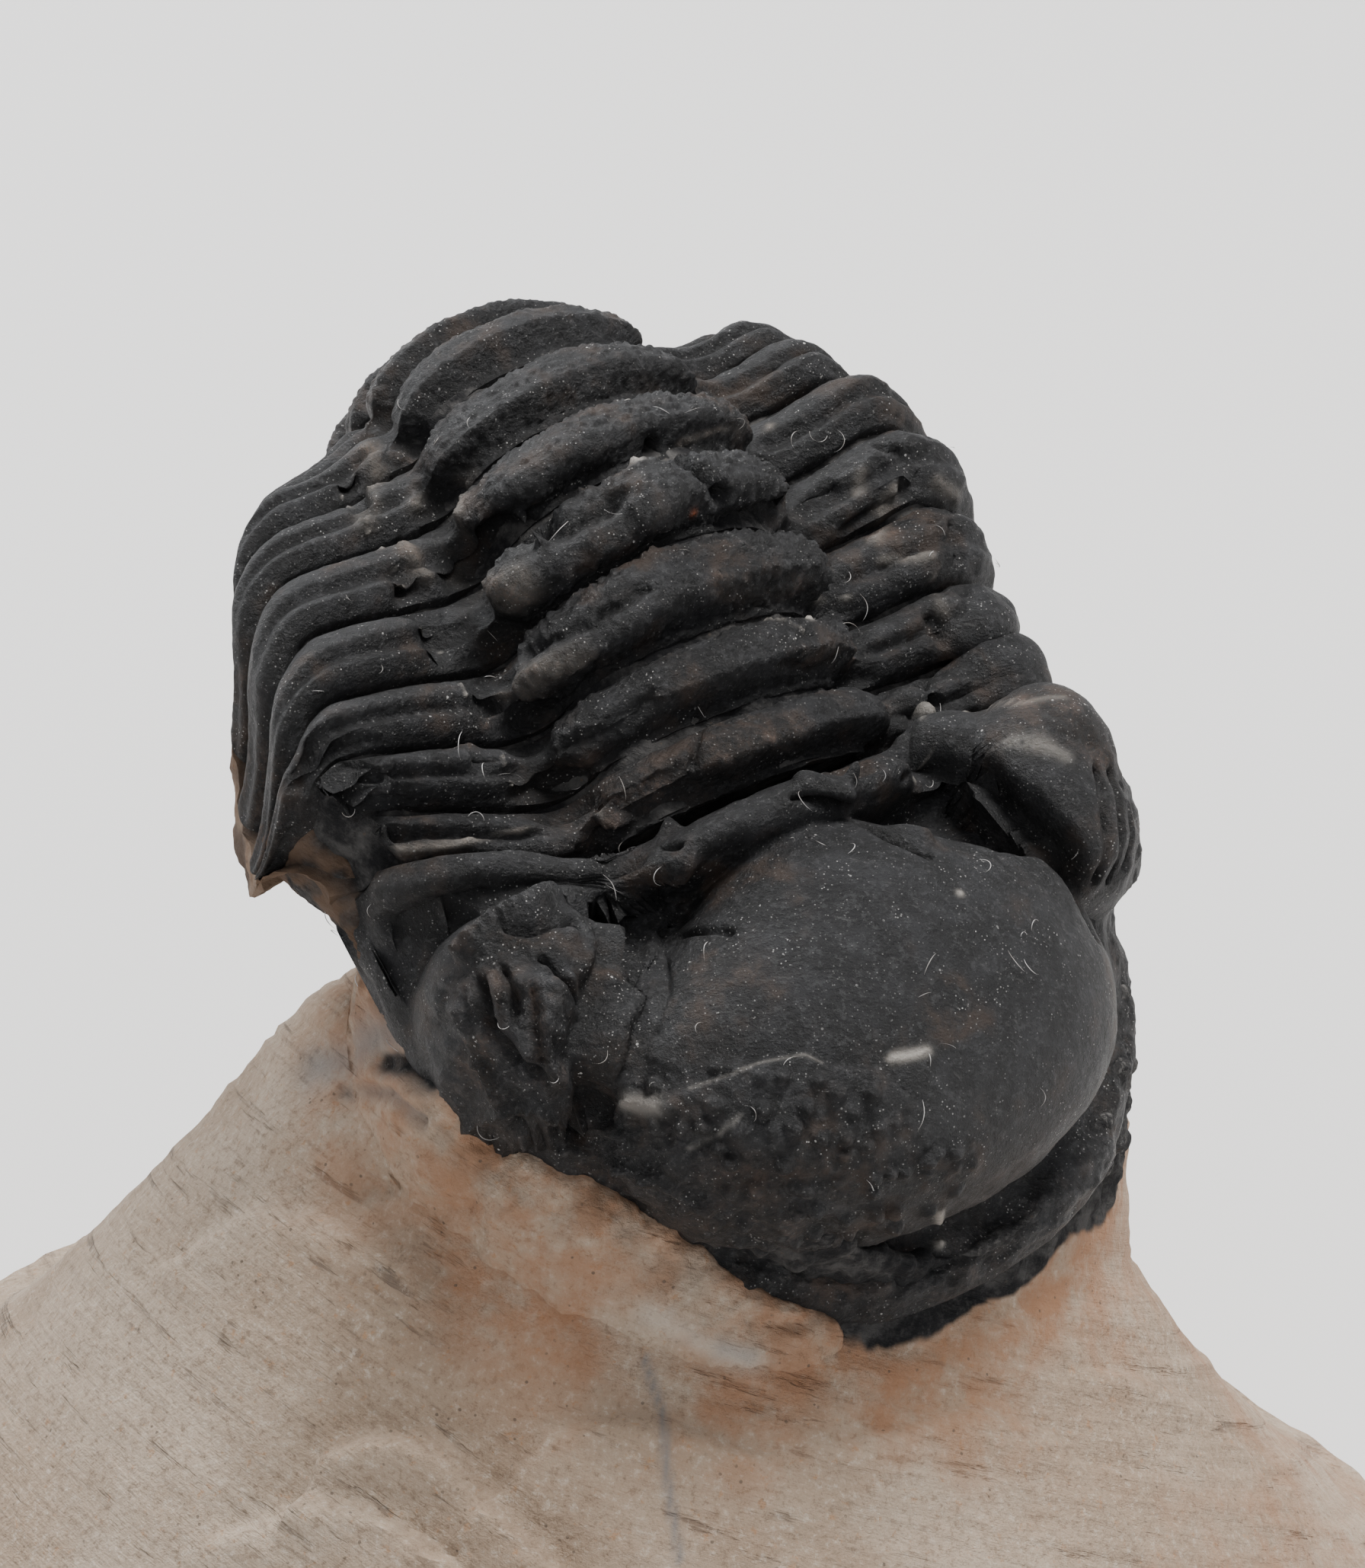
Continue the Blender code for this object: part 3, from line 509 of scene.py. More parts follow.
def thorax_skin(number):
    """One hinged plate: places across by stations from front to back, with edges that wander a little. The
    first plates end short on the left, in a ragged line."""
    start, end = JOINTS[number], JOINTS[number + 1]
    left = BROKEN_ENDS[number] if number < len(BROKEN_ENDS) else -1.0
    place = np.linspace(left, 1.0, SECTION_ROWS)[:, None]
    station = np.linspace(0.0, 1.0, STATIONS)[None, :]
    edge_spot = np.stack([place[:, 0] * 20.0, 0.0 * place[:, 0] + number * 3.1, 0.0 * place[:, 0]], axis=-1)
    front = PLATE_GAP + 0.12 * np.abs(rough(edge_spot, 1.3, 11))[:, None]
    behind = PLATE_GAP + 0.12 * np.abs(rough(edge_spot, 1.3, 17))[:, None]
    if number < len(BROKEN_ENDS):
        end_spot = np.stack([station[0] * 3.0, station[0] * 0.0 + number, station[0] * 0.0], -1)
        ragged = 0.035 * rough(end_spot, 1.0, 5)
        place = np.where(place < left + 0.06, place + ragged[None, :] * (1.0 - (place - left) / 0.06), place)
    else:
        place = place + 0.0 * station
    length = start + front + station * (end - start - front - behind)
    inset = station_inset(station, place, 1.15, 1.0, 0.38)
    skin = Skin(f"thorax_plate_{number + 1:02d}", body_point(length, place, inset),
                body_point(0.5 * (start + end) + 0.0 * length, place, SHELL + 1.2))
    edge = np.minimum(station, 1.0 - station)
    ends = np.minimum(np.abs(place - left), np.abs(1.0 - place))
    skin.freedom = smooth(edge / 0.06) * smooth(ends / 0.01)
    skin.place, skin.station = place, station + 0.0 * place
    inner_station = np.array([[1.0, 0.5, 0.0]])
    inner_length = start + front + inner_station * (end - start - front - behind)
    skin.closing = body_point(inner_length, place[:, [-1, STATIONS // 2, 0]], SHELL + 0.0 * inner_length)
    return skin


def tail_skin():
    """The tail plate: places across by quarter-circle turns towards the tail's end, with low ribs as a cosine
    of the length that fades, closed by the same surface moved inwards."""
    place = np.linspace(-1.0, 1.0, TAIL_PLACES)[None, :]
    turn = np.linspace(0.0, 0.5 * math.pi, TAIL_TURNS)[:, None]
    start = THORAX_END + PLATE_GAP
    length = start + (THORAX_END + TAIL_LENGTH - start) * np.sin(turn) + 0.0 * place
    waves = 0.16 * (1.0 - np.cos((length - start) * 2.0 * math.pi / 1.35)) * np.cos(turn)
    skin = Skin("tail_plate", body_point(length, place + 0.0 * turn, waves),
                body_point(THORAX_END + 0.0 * length, place + 0.0 * turn, SHELL + 1.2))
    skin.freedom = np.cos(turn) + 0.0 * place
    inner_length = start + (THORAX_END + TAIL_LENGTH - SHELL - start) * np.sin(turn) + 0.0 * place
    skin.closing = body_point(inner_length, place[:, ::-1] + 0.0 * turn, SHELL + 0.0 * inner_length)
    return skin


# ---- Rock ----


def filling_skin():
    """Rock inside the body: the section moved inwards, a ledge under the rib ends and a keel, carried along
    the arch. The keel stops short of the arch's centre."""
    place = np.linspace(-1.0, 1.0, FILLING_PLACES)[None, :]
    end_reach = TAIL_LENGTH - FILLING_SHORT
    end_turn = np.linspace(0.0, 0.5 * math.pi, FILLING_END)[1:]
    length = np.concatenate([np.linspace(FILLING_START, THORAX_END, FILLING_LENGTHS),
                             THORAX_END + end_reach * np.sin(end_turn)])[:, None]
    arch = body_point(length + 0.0 * place, place + 0.0 * length, FILLING_INSET + 0.0 * (place + length))
    rate = np.interp(length, SPINE[0], SPINE[1])
    deepest = np.maximum(-KEEL_DEPTH * body_size(length), -0.85 / np.clip(rate, 0.02, None))
    tip_across, tip = section_at(length, 1.0 + 0.0 * length, 0.0)
    beyond = np.clip((length - THORAX_END) / end_reach, 0.0, 1.0)
    taper = np.sqrt(1.0 - beyond * beyond)
    half_across = [tip_across - 0.2, tip_across - 0.5, KEEL_HALF * body_size(length)]
    path_across = np.concatenate(half_across + [0.0 * length] + [-part for part in half_across[::-1]], axis=1)
    shallow = smooth((length - 1.0) / 2.0) * (1.0 - smooth((length - 6.5) / 3.0))
    top = tip - LEDGE_GAP
    right_ledge = top - LEDGE_HEIGHT * drop_share(length)
    left_ledge = top - (LEDGE_HEIGHT - LEFT_LEDGE_CUT * shallow) * drop_share(length)
    path_above = np.concatenate([top, right_ledge, deepest, deepest, deepest, left_ledge, top], axis=1)
    knots = np.linspace(0.0, 1.0, path_across.shape[1])
    fine = np.linspace(0.0, 1.0, FILLING_BELOW)
    across = np.stack([np.interp(fine, knots, row) for row in path_across])
    above = np.stack([np.interp(fine, knots, row) for row in path_above])
    outward = np.clip((np.abs(across) - 0.6 * tip_across) / (0.4 * tip_across), 0.0, 1.0)
    sweep = TIP_SWEEP * smooth(outward) * smooth(length / SWEEP_REACH) * taper
    sweep = sweep - left_sweep(across) * (1.0 - smooth(length / LEFT_SWEEP_END))
    drift = DRIFT * smooth(length / DRIFT_REACH)
    spread, lift = side_shift(length, across)
    below = on_spine(length - sweep, across * taper + drift - spread, tip + (above - tip) * taper + lift)
    skin = Skin("body_rock", np.concatenate([arch, below], axis=1),
                on_spine(length, drift + 0.0 * length, 0.6 * deepest))
    skin.tints["dark"][:, :arch.shape[1]] = 1.0
    skin.tints["brown"][:, arch.shape[1]:] = 0.7 + 0.25 * (1.0 - smooth((length - 6.0) / 6.0))
    return skin


def around(values, turn):
    """Smooth closed curve through eight compass values, as a sum of waves."""
    waves = np.fft.rfft(values) / len(values)
    total = np.full_like(turn, waves[0].real)
    for order in range(1, len(waves)):
        weight = 1.0 if 2 * order == len(values) else 2.0
        wave = waves[order].real * np.cos(order * turn) - waves[order].imag * np.sin(order * turn)
        total += weight * wave
    return total


def mound_skin():
    """The stone below the fossil: a profile from the edge of the base up the slope to the neck, carried round
    the compass curves and softened by a running mean. Angles are closer together at the front."""
    even = np.linspace(0.0, 2.0 * math.pi, MOUND_ANGLES, endpoint=False)
    turn = even - 0.35 * np.sin(even + 0.5 * math.pi)
    edge, edge_height = around(EDGE_RADIUS, turn), around(EDGE_HEIGHT, turn)
    foot, foot_height = around(FOOT_RADIUS, turn), around(FOOT_HEIGHT, turn)
    neck = around(NECK_RADIUS, turn)
    none = 0.0 * edge
    radius = [0.97 * edge, edge, edge]
    height = [none, 0.15 * edge_height, edge_height]
    knots = [0.0, 0.03, 0.1]
    for share in (0.16, 0.36, 0.58, 0.8, 1.0):
        radius.append(edge + (foot - edge) * share)
        height.append(edge_height + (foot_height - edge_height) * share ** SLOPE_POWER)
        knots.append(0.1 + 0.6 * share)
    radius += [0.5 * (foot + neck), neck, 0.9 * neck]
    height += [foot_height + 0.3 * (MOUND_TOP - foot_height), 0.5 * (foot_height + MOUND_TOP),
               MOUND_TOP + none]
    knots += [0.76, 0.86, 1.0]
    radius += [0.45 * neck, none]
    height += [MOUND_TOP + 1.0 + none, MOUND_TOP + 1.2 + none]
    knots += [1.06, 1.1]
    fine = np.linspace(0.0, 1.1, MOUND_ROWS)
    knots = np.array(knots)
    radius, height = (np.stack([np.interp(fine, knots, column) for column in np.array(profile).T], axis=1)
                      for profile in (radius, height))
    blur = (0.05, 0.1, 0.2, 0.3, 0.2, 0.1, 0.05)
    inner_rows = slice(14, MOUND_ROWS - 4)
    for grid in (radius, height):
        soft = sum(weight * np.roll(grid, shift, axis=0) for weight, shift in zip(blur, range(-3, 4)))
        grid[inner_rows] = soft[inner_rows]
    points = np.stack([radius * np.cos(turn), radius * np.sin(turn), height], axis=-1) + MOUND_CENTRE
    skin = Skin("limestone_mound", points, MOUND_CENTRE + np.array([0.0, 0.0, 4.0]))
    skin.freedom = smooth((fine[:, None] - 0.03) / 0.06) + 0.0 * radius
    skin.turn, skin.row = turn, fine
    return skin


def placed(spots, facing):
    """World points at places in the photograph and distances from the camera, all with one facing."""
    right, down, depth = np.array(spots, dtype=float).T
    scale = depth * SENSOR / (IMAGE_HEIGHT * LENS)
    aside, below = (right - 0.5 * IMAGE_WIDTH) * scale, (down - 0.5 * IMAGE_HEIGHT) * scale
    points = (CAMERA_PLACE + depth[:, None] * VIEW + aside[:, None] * VIEW_RIGHT
              - below[:, None] * VIEW_UP)
    return points, np.repeat(np.array([facing]) / np.linalg.norm(facing), len(points), axis=0)


def bank_skin(name, inner_line, outer_line, rise, sink, seed, blunt, count=380, sides=88):
    """Rock that banks up between a line on the fossil and a line on the mound: a flattened ring of points,
    half an ellipse above, highest towards the fossil, and a shallow half below, carried along the two lines
    and drawn in to a point at both ends."""
    (inner, inner_facing), (outer, outer_facing) = inner_line, outer_line
    knots = np.linspace(0.0, 1.0, len(inner))
    along = np.linspace(0.0, 1.0, count)

    def curve(values):
        """Values along the line, softened by a running mean as long as one knot."""
        line = np.stack([np.interp(along, knots, values[:, axis]) for axis in range(3)], axis=-1)
        reach = int(0.5 * count / len(inner))
        padded = np.concatenate([np.repeat(line[:1], reach, 0), line, np.repeat(line[-1:], reach, 0)])
        total = np.concatenate([np.zeros((1, 3)), np.cumsum(padded, axis=0)])
        return (total[2 * reach:] - total[:-2 * reach])[:count] / (2 * reach)

    start, stop = curve(inner - sink * inner_facing), curve(outer - sink * outer_facing)
    facing = curve(0.5 * (inner_facing + outer_facing))
    facing /= np.linalg.norm(facing, axis=1)[:, None]
    ends = np.sqrt(np.clip(1.0 - (2.0 * along - 1.0) ** blunt, 0.0, 1.0))[:, None, None]
    turn = np.linspace(0.0, 2.0 * math.pi, sides, endpoint=False)[None, :, None]
    middle, half = 0.5 * (start + stop)[:, None], 0.5 * (stop - start)[:, None]
    lean = 0.62 - 0.38 * np.cos(turn)
    height = np.where(np.sin(turn) > 0.0, 1.25 * rise * lean, 0.5 * rise) * np.sin(turn)
    ring = middle + ends * (half * np.cos(turn) + facing[:, None] * (height + 0.0 * half[..., :1]))
    skin = Skin(name, ring, middle)
    skin.freedom = np.minimum(1.0, 1.5 * ends[..., 0]) + 0.0 * ring[..., 0]
    skin.turn = turn[..., 0] + 0.0 * ring[..., 0]
    skin.push += 0.35 * rough(ring, 1.5, seed) + 0.14 * rough(ring, 0.5, seed + 3, 3)
    return skin


# ---- Marks ----


def pick(skins, spots):
    """World points and normals of the surface nearest the camera under places in the photograph."""
    points = np.concatenate([skin.points.reshape(-1, 3) for skin in skins])
    normals = np.concatenate([skin.normals.reshape(-1, 3) for skin in skins])
    right, down, depth = seen_at(points)
    found, facing = [], []
    for spot in spots:
        away = np.hypot(right - spot[0], down - spot[1])
        near = np.flatnonzero(away < PICK_REACH)
        index = near[np.argmin(depth[near])] if len(near) else int(np.argmin(away))
        found.append(points[index])
        facing.append(normals[index])
    return np.array(found), np.array(facing)


def path_field(points, path, facing):
    """Distance of points from a path of straight pieces, and the side they lie on."""
    if len(path) == 1:
        away = points - path[0]
        return np.linalg.norm(away, axis=-1), np.ones(points.shape[:-1])
    nearest = np.full(points.shape[:-1], FAR)
    side = np.ones(points.shape[:-1])
    for first, last, normal in zip(path[:-1], path[1:], facing[:-1]):
        run = last - first
        share = np.clip(((points - first) @ run) / max(run @ run, 1e-9), 0.0, 1.0)
        away = points - first - share[..., None] * run
        distance = np.linalg.norm(away, axis=-1)
        closer = distance < nearest
        nearest = np.where(closer, distance, nearest)
        side = np.where(closer, np.sign(away @ np.cross(run, normal)), side)
    return nearest, side


def mark(skins, kind, spots, width, height, **tints):
    """Press one mark into surfaces: a ridge or groove falls off as a bell curve from its path, and a step
    goes up on one side of it. A ridge of caught rock is lumpy."""
    path, facing = pick(skins, spots)
    low, high = path.min(axis=0) - 4.0 * width - 1.0, path.max(axis=0) + 4.0 * width + 1.0
    for skin in skins:
        if np.any(skin.points.max(axis=(0, 1)) < low) or np.any(skin.points.min(axis=(0, 1)) > high):
            continue
        wobble = 1.0 + 0.35 * rough(skin.points, 0.8, 23, 2)
        distance, side = path_field(skin.points, path, facing)
        bell = np.exp(-(distance / (width * wobble)) ** 2)
        if kind == "step":
            fade = np.exp(-(distance / (9.0 * width)) ** 2)
            skin.push += 0.5 * height * np.tanh(side * distance / width) * fade
        elif "brown" in tints and kind == "ridge":
            skin.push += height * bell * (0.35 + 1.1 * np.abs(rough(skin.points, 0.55, 27)))
        else:
            skin.push += height * bell
        for name, amount in tints.items():
            skin.tint(name, amount * bell)


# Marks on the fossil. A dark tint on a groove is painted shade: it darkens the groove's floor towards near
# black.
FOSSIL_MARKS = [
    # eye lobe on the right and the deep groove beside it, with painted shade in that groove and in the fine
    # folds
    ("ridge", [(1240, 960), (1300, 985), (1370, 1030), (1420, 1090)], 1.5, 0.9, {}),
    ("groove", [(1195, 985), (1300, 1040), (1380, 1120), (1445, 1210)], 0.55, -1.5, {"dark": 1.0}),
    ("groove", [(1438, 1005), (1446, 1080), (1440, 1150)], 0.12, -0.4, {"dark": 1.0}),
    ("groove", [(1461, 1008), (1469, 1080), (1462, 1152)], 0.12, -0.4, {"dark": 1.0}),
    ("groove", [(1482, 1025), (1489, 1085), (1483, 1140)], 0.1, -0.35, {"dark": 1.0}),
    ("ridge", [(1310, 938), (1390, 955), (1455, 1000)], 0.7, 0.0, {"brown": 0.7}),
    ("groove", [(1195, 935), (1192, 980), (1196, 1025)], 0.14, -0.4, {"dark": 0.9}),
    # back of the head: broken plate edge, round pit with a knob; painted shade darkens the groove along the
    # edge and the pit
    ("groove", [(1050, 1037), (1090, 1057), (1120, 1065), (1170, 1092), (1222, 1115)], 0.15, -0.7,
     {"dark": 1.0}),
    ("ridge", [(1055, 1018), (1120, 1045), (1215, 1094)], 0.32, 0.4, {"grey": 0.4}),
    ("groove", [(1120, 995)], 0.75, -0.8, {"dark": 0.7}),
    ("ridge", [(1122, 1003)], 0.26, 0.75, {"grey": 0.5}),
    # glabella: left margin, ledges, peeled edge, chips, with painted shade in the grooves along the ledges
    ("ridge", [(905, 1140), (870, 1215), (845, 1280), (825, 1340), (815, 1400)], 0.42, 0.4, {"grey": 0.75}),
    ("groove", [(872, 1222), (905, 1217), (955, 1214)], 0.13, -0.3, {"dark": 0.9}),
    ("groove", [(873, 1225), (868, 1290), (850, 1350)], 0.14, -0.22, {"dark": 0.7}),
    ("step", [(835, 1435), (900, 1430), (960, 1402), (1000, 1389), (1060, 1378), (1090, 1391), (1155, 1402),
              (1185, 1425)], 0.1, 0.26, {"grey": 0.9}),
    ("ridge", [(900, 1430), (960, 1402), (1000, 1389), (1060, 1378), (1085, 1390)], 0.05, 0.05,
     {"pale": 0.25}),
    ("ridge", [(900, 1515), (940, 1495), (975, 1470)], 0.07, 0.06, {"pale": 0.25}),
    ("ridge", [(905, 1300), (935, 1350), (955, 1395)], 0.09, 0.08, {"grey": 0.7}),
    ("ridge", [(1178, 1385), (1222, 1376)], 0.17, 0.05, {"pale": 1.0}),
    ("ridge", [(1240, 1597), (1242, 1628)], 0.13, 0.2, {"pale": 1.0}),
    ("ridge", [(815, 1450), (855, 1452)], 0.28, 0.1, {"pale": 0.45}),
    ("ridge", [(1266, 1167)], 0.12, 0.05, {"pale": 0.8}),
    # left cheek: furrow, border ridge, lid of the eye, hollow below it; painted shade darkens the furrow, the
    # hollow and the other dark grooves
    ("ridge", [(497, 1165), (560, 1142), (640, 1128), (750, 1114)], 0.55, 0.4, {"grey": 0.35}),
    ("groove", [(520, 1225), (570, 1190), (640, 1172), (775, 1150)], 0.42, -0.6, {"dark": 1.0}),
    ("ridge", [(600, 1248), (640, 1214), (690, 1190), (745, 1178), (785, 1205), (786, 1260)], 0.32, 0.75,
     {"grey": 0.5}),
    ("groove", [(655, 1212), (700, 1205), (765, 1204)], 0.16, -0.75, {"dark": 1.0}),
    ("groove", [(722, 1248), (748, 1278), (774, 1302)], 0.13, -0.5, {"dark": 1.0}),
    ("ridge", [(675, 1222), (715, 1232)], 0.25, 0.15, {"brown": 1.0}),
    ("groove", [(655, 1262), (668, 1300), (664, 1345)], 0.16, -0.4, {"dark": 0.9}),
    ("groove", [(618, 1290), (632, 1350), (660, 1402), (705, 1425)], 0.2, -0.5, {"dark": 0.9}),
    ("ridge", [(640, 1280), (662, 1340), (690, 1395)], 0.24, 0.4, {"grey": 0.5}),
    ("ridge", [(738, 1300), (722, 1360), (730, 1430)], 0.26, 0.4, {"grey": 0.5}),
    ("groove", [(700, 1290), (700, 1350), (706, 1400)], 0.18, -0.35, {"brown": 0.9}),
    ("ridge", [(590, 1330), (610, 1400), (640, 1450)], 0.3, 0.35, {"grey": 0.4}),
    ("groove", [(808, 1120), (797, 1200), (790, 1280), (776, 1340), (770, 1400), (776, 1470)], 0.45, -1.1,
     {"dark": 1.0}),
    # front border: two ridges with a groove, the groove darkened as painted shade
    ("ridge", [(608, 1490), (650, 1474), (705, 1473), (755, 1482), (810, 1497)], 0.2, 0.4, {"grey": 0.6}),
    ("groove", [(618, 1502), (680, 1492), (755, 1502)], 0.14, -0.5, {"dark": 1.0}),
    ("ridge", [(625, 1520), (690, 1512), (770, 1524), (850, 1550), (930, 1600)], 0.24, 0.35, {"grey": 0.5}),
    # rings: bulk, hollows in front of them darkened as painted shade, broken edges
    ("ridge", [(690, 760), (770, 705), (860, 672)], 1.3, 0.55, {}),
    ("ridge", [(620, 700), (680, 625), (760, 575)], 0.9, 0.4, {}),
    ("ridge", [(700, 890), (780, 845), (850, 800)], 1.0, 0.4, {}),
    ("groove", [(612, 742), (655, 705), (735, 690), (800, 660)], 0.62, -1.0, {"dark": 1.0}),
    ("ridge", [(700, 662), (745, 648), (800, 641), (838, 641)], 0.1, 0.25, {"brown": 1.0}),
    ("ridge", [(680, 682), (712, 714)], 0.12, 0.7, {"grey": 0.9}),
    ("groove", [(862, 587), (900, 600), (932, 620), (950, 655)], 0.22, -1.0, {"dark": 1.0}),
    ("ridge", [(912, 675)], 0.12, 0.14, {"rust": 1.0}),
    ("ridge", [(838, 612)], 0.2, 0.18, {"pale": 0.8}),
    ("groove", [(640, 1000), (760, 985), (860, 930)], 0.3, -0.5, {"dark": 1.0}),
    ("groove", [(690, 860), (780, 815), (850, 770)], 0.3, -0.5, {"dark": 1.0}),
    # first ring: broken left part, brown patch, shard, and grooves darkened as painted shade
    ("groove", [(715, 1045), (800, 1052), (880, 1040)], 0.9, -0.6, {"brown": 0.8}),
    ("ridge", [(710, 1020), (760, 1010), (790, 1035)], 0.45, 0.35, {"brown": 1.0}),
    ("ridge", [(940, 985), (1000, 972), (1045, 962)], 0.6, 0.2, {"brown": 0.75}),
    ("groove", [(918, 1010), (912, 970), (925, 945)], 0.14, -0.6, {"dark": 1.0}),
    ("ridge", [(795, 1090), (882, 1084)], 0.24, 0.6, {"grey": 0.35}),
    ("groove", [(790, 1108), (885, 1103)], 0.15, -0.6, {"dark": 1.0}),
    # axial furrow on the left: hollows darkened as painted shade, caught rock, pale torn edges
    ("groove", [(462, 625), (478, 660)], 0.3, -0.8, {"dark": 1.0}),
    ("groove", [(548, 775), (580, 815), (596, 850)], 0.5, -0.9, {"dark": 1.0}),
    ("groove", [(625, 885), (650, 925)], 0.42, -0.7, {"dark": 1.0}),
    ("ridge", [(484, 585), (505, 620), (482, 680)], 0.32, 0.35, {"brown": 1.0, "pale": 0.2}),
    ("ridge", [(560, 655), (598, 672), (610, 640)], 0.36, 0.4, {"brown": 1.0, "pale": 0.3}),
    ("ridge", [(532, 712), (565, 750)], 0.28, 0.3, {"brown": 1.0, "pale": 0.2}),
    ("ridge", [(618, 762), (655, 775), (690, 765)], 0.4, 0.4, {"brown": 1.0, "pale": 0.15}),
    ("ridge", [(665, 902), (715, 880), (765, 862)], 0.25, 0.3, {"brown": 1.0, "pale": 0.15}),
    ("ridge", [(610, 975), (655, 945), (690, 915)], 0.22, 0.3, {"brown": 1.0}),
    ("ridge", [(455, 650), (490, 698), (530, 750), (562, 812)], 0.06, 0.14, {"pale": 0.75}),
    ("ridge", [(600, 865), (618, 905), (636, 930)], 0.05, 0.12, {"pale": 0.7}),
    ("ridge", [(664, 985), (684, 1035)], 0.05, 0.12, {"pale": 0.6}),
    ("ridge", [(520, 1122), (600, 1112), (690, 1095), (790, 1082)], 0.1, 0.1, {"brown": 1.0, "pale": 0.35}),
    ("groove", [(410, 1010), (470, 1012), (440, 1055), (475, 1080)], 0.75, -0.9, {"dark": 1.0}),
    ("ridge", [(500, 1012), (515, 1000), (512, 1040)], 0.16, 0.3, {"grey": 1.0}),
    # right ribs: pit, chips, tan furrow line, crack, and grooves darkened as painted shade
    ("groove", [(960, 690), (1020, 675), (1095, 640)], 0.35, -0.7, {"dark": 1.0}),
    ("groove", [(1225, 665)], 0.35, -0.5, {"brown": 1.0}),
    ("ridge", [(1060, 803), (1085, 798)], 0.15, 0.04, {"pale": 1.0}),
    ("ridge", [(1120, 790)], 0.13, 0.04, {"pale": 0.7}),
    ("ridge", [(1155, 680), (1168, 690)], 0.2, 0.05, {"brown": 0.9}),
    ("ridge", [(900, 585), (950, 572), (1010, 550)], 0.13, 0.05, {"brown": 1.0, "pale": 0.25}),
    ("groove", [(1030, 880), (1070, 886), (1100, 872)], 0.1, -0.3, {"brown": 1.0}),
    ("ridge", [(950, 770), (1000, 790), (1060, 770)], 0.35, 0.2, {"brown": 0.8}),
    ("ridge", [(1300, 835), (1345, 890), (1395, 945)], 1.3, 1.15, {}),
    ("ridge", [(1150, 700), (1168, 675), (1186, 648)], 0.22, 0.25, {"brown": 1.0, "pale": 0.25}),
    ("ridge", [(1122, 640), (1135, 628)], 0.2, 0.15, {"brown": 0.8, "pale": 0.3}),
    ("ridge", [(1240, 636), (1262, 650)], 0.25, 0.2, {"brown": 0.7, "pale": 0.25}),
    ("groove", [(1150, 572), (1165, 578)], 0.2, -0.45, {"dark": 1.0}),
    ("groove", [(1182, 585), (1190, 605)], 0.16, -0.35, {"dark": 1.0}),
    ("ridge", [(1165, 738), (1200, 728), (1225, 722)], 0.14, 0.2, {"brown": 0.8, "pale": 0.3}),
    ("ridge", [(1228, 765), (1238, 800)], 0.16, 0.2, {"brown": 0.8, "pale": 0.2}),
    ("groove", [(1120, 700), (1190, 665), (1205, 620)], 0.25, -0.35, {"dark": 0.5}),
    ("groove", [(1262, 680), (1265, 740), (1270, 790)], 0.2, -0.3, {"dark": 0.5}),
    ("groove", [(1228, 815), (1236, 830)], 0.22, -0.5, {"dark": 1.0}),
    ("groove", [(1205, 890), (1235, 925)], 0.25, -0.6, {"dark": 1.0}),
    ("ridge", [(1060, 822), (1030, 808), (990, 812)], 0.06, 0.1, {"pale": 0.6}),
    ("ridge", [(1200, 935), (1230, 928), (1265, 945)], 0.05, 0.1, {"pale": 0.55}),
    ("ridge", [(1218, 945), (1222, 985), (1215, 1030)], 0.06, 0.1, {"pale": 0.5}),
    ("ridge", [(1330, 985), (1365, 990), (1395, 1000)], 0.25, 0.05, {"pale": 0.3, "grey": 1.0}),
    ("ridge", [(1300, 940), (1340, 944), (1385, 940)], 0.1, 0.12, {"brown": 1.0, "pale": 0.25}),
]


def dress_head(head):
    """Tubercles in rough rows on the lower front of the glabella, a lumpy eye on the left, a worn and stained
    border, and low grain that leaves the right of the glabella clean."""
    across, forward = head.plan[..., 0], head.plan[..., 1]
    (left_eye, clean_spot, right_eye), _ = pick([head], [(680, 1340), (1290, 1230), (1350, 1080)])
    knob_rows = pick([head], [(860, 1500), (960, 1500), (1080, 1490), (1200, 1560), (1100, 1600),
                              (960, 1580)])
    reach, _ = path_field(head.points, *knob_rows)
    knobbly = 1.0 - smooth((reach - 1.5) / 1.3)
    knobs = smooth((0.46 - grains(head.points, 0.8, 31)) / 0.34)
    small = smooth((0.5 - grains(head.points, 0.42, 37)) / 0.3)
    head.push += knobbly * (0.33 * knobs + 0.04 * small)
    head.tint("grey", 0.6 * knobbly * knobs)
    eye = 1.0 - smooth((np.linalg.norm(head.points - left_eye, axis=-1) - 2.6) / 1.8)
    eye = eye * (1.0 - 0.75 * smooth((forward - 8.0) / 3.0))
    pebbles = smooth((0.55 - grains(head.points, 0.7, 43)) / 0.4)
    head.push += eye * (0.5 * rough(head.points, 1.5, 41) - 0.15 + 0.22 * pebbles)
    head.tint("brown", eye * smooth(rough(head.points, 1.3, 47) * 2.0))
    lobe = 1.0 - smooth((np.linalg.norm(head.points - right_eye, axis=-1) - 3.0) / 2.0)
    head.push += lobe * 0.1 * rough(head.points, 0.7, 53)
    clean = 1.0 - smooth((np.linalg.norm(head.points - clean_spot, axis=-1) - 4.0) / 4.0)
    grain = 0.1 * rough(head.points, 1.6, 59) + 0.03 * rough(head.points, 0.4, 61)
    head.push += (1.0 - 0.8 * clean) * grain
    worn = smooth(1.7 * rough(head.points, 1.9, 63) + 0.15) * (1.0 - clean) * smooth((forward - 3.0) / 3.0)
    head.tint("brown", 0.42 * worn)
    border = smooth((outline_share(across, forward) - 0.86) / 0.08) * smooth((forward - 1.0) / 3.0)
    head.push += border * (0.42 * rough(head.points, 1.1, 67) - 0.12)
    head.tint("grey", 0.7 * border)
    head.tint("brown", 0.5 * border * smooth(1.6 * rough(head.points, 1.4, 71)))
    peeled = smooth(3.0 * rough(head.points, 3.0, 73) - 0.3) * (1.0 - clean) * smooth((forward - 2.0) / 3.0)
    head.push -= 0.07 * peeled
    head.tint("grey", 0.4 * peeled)


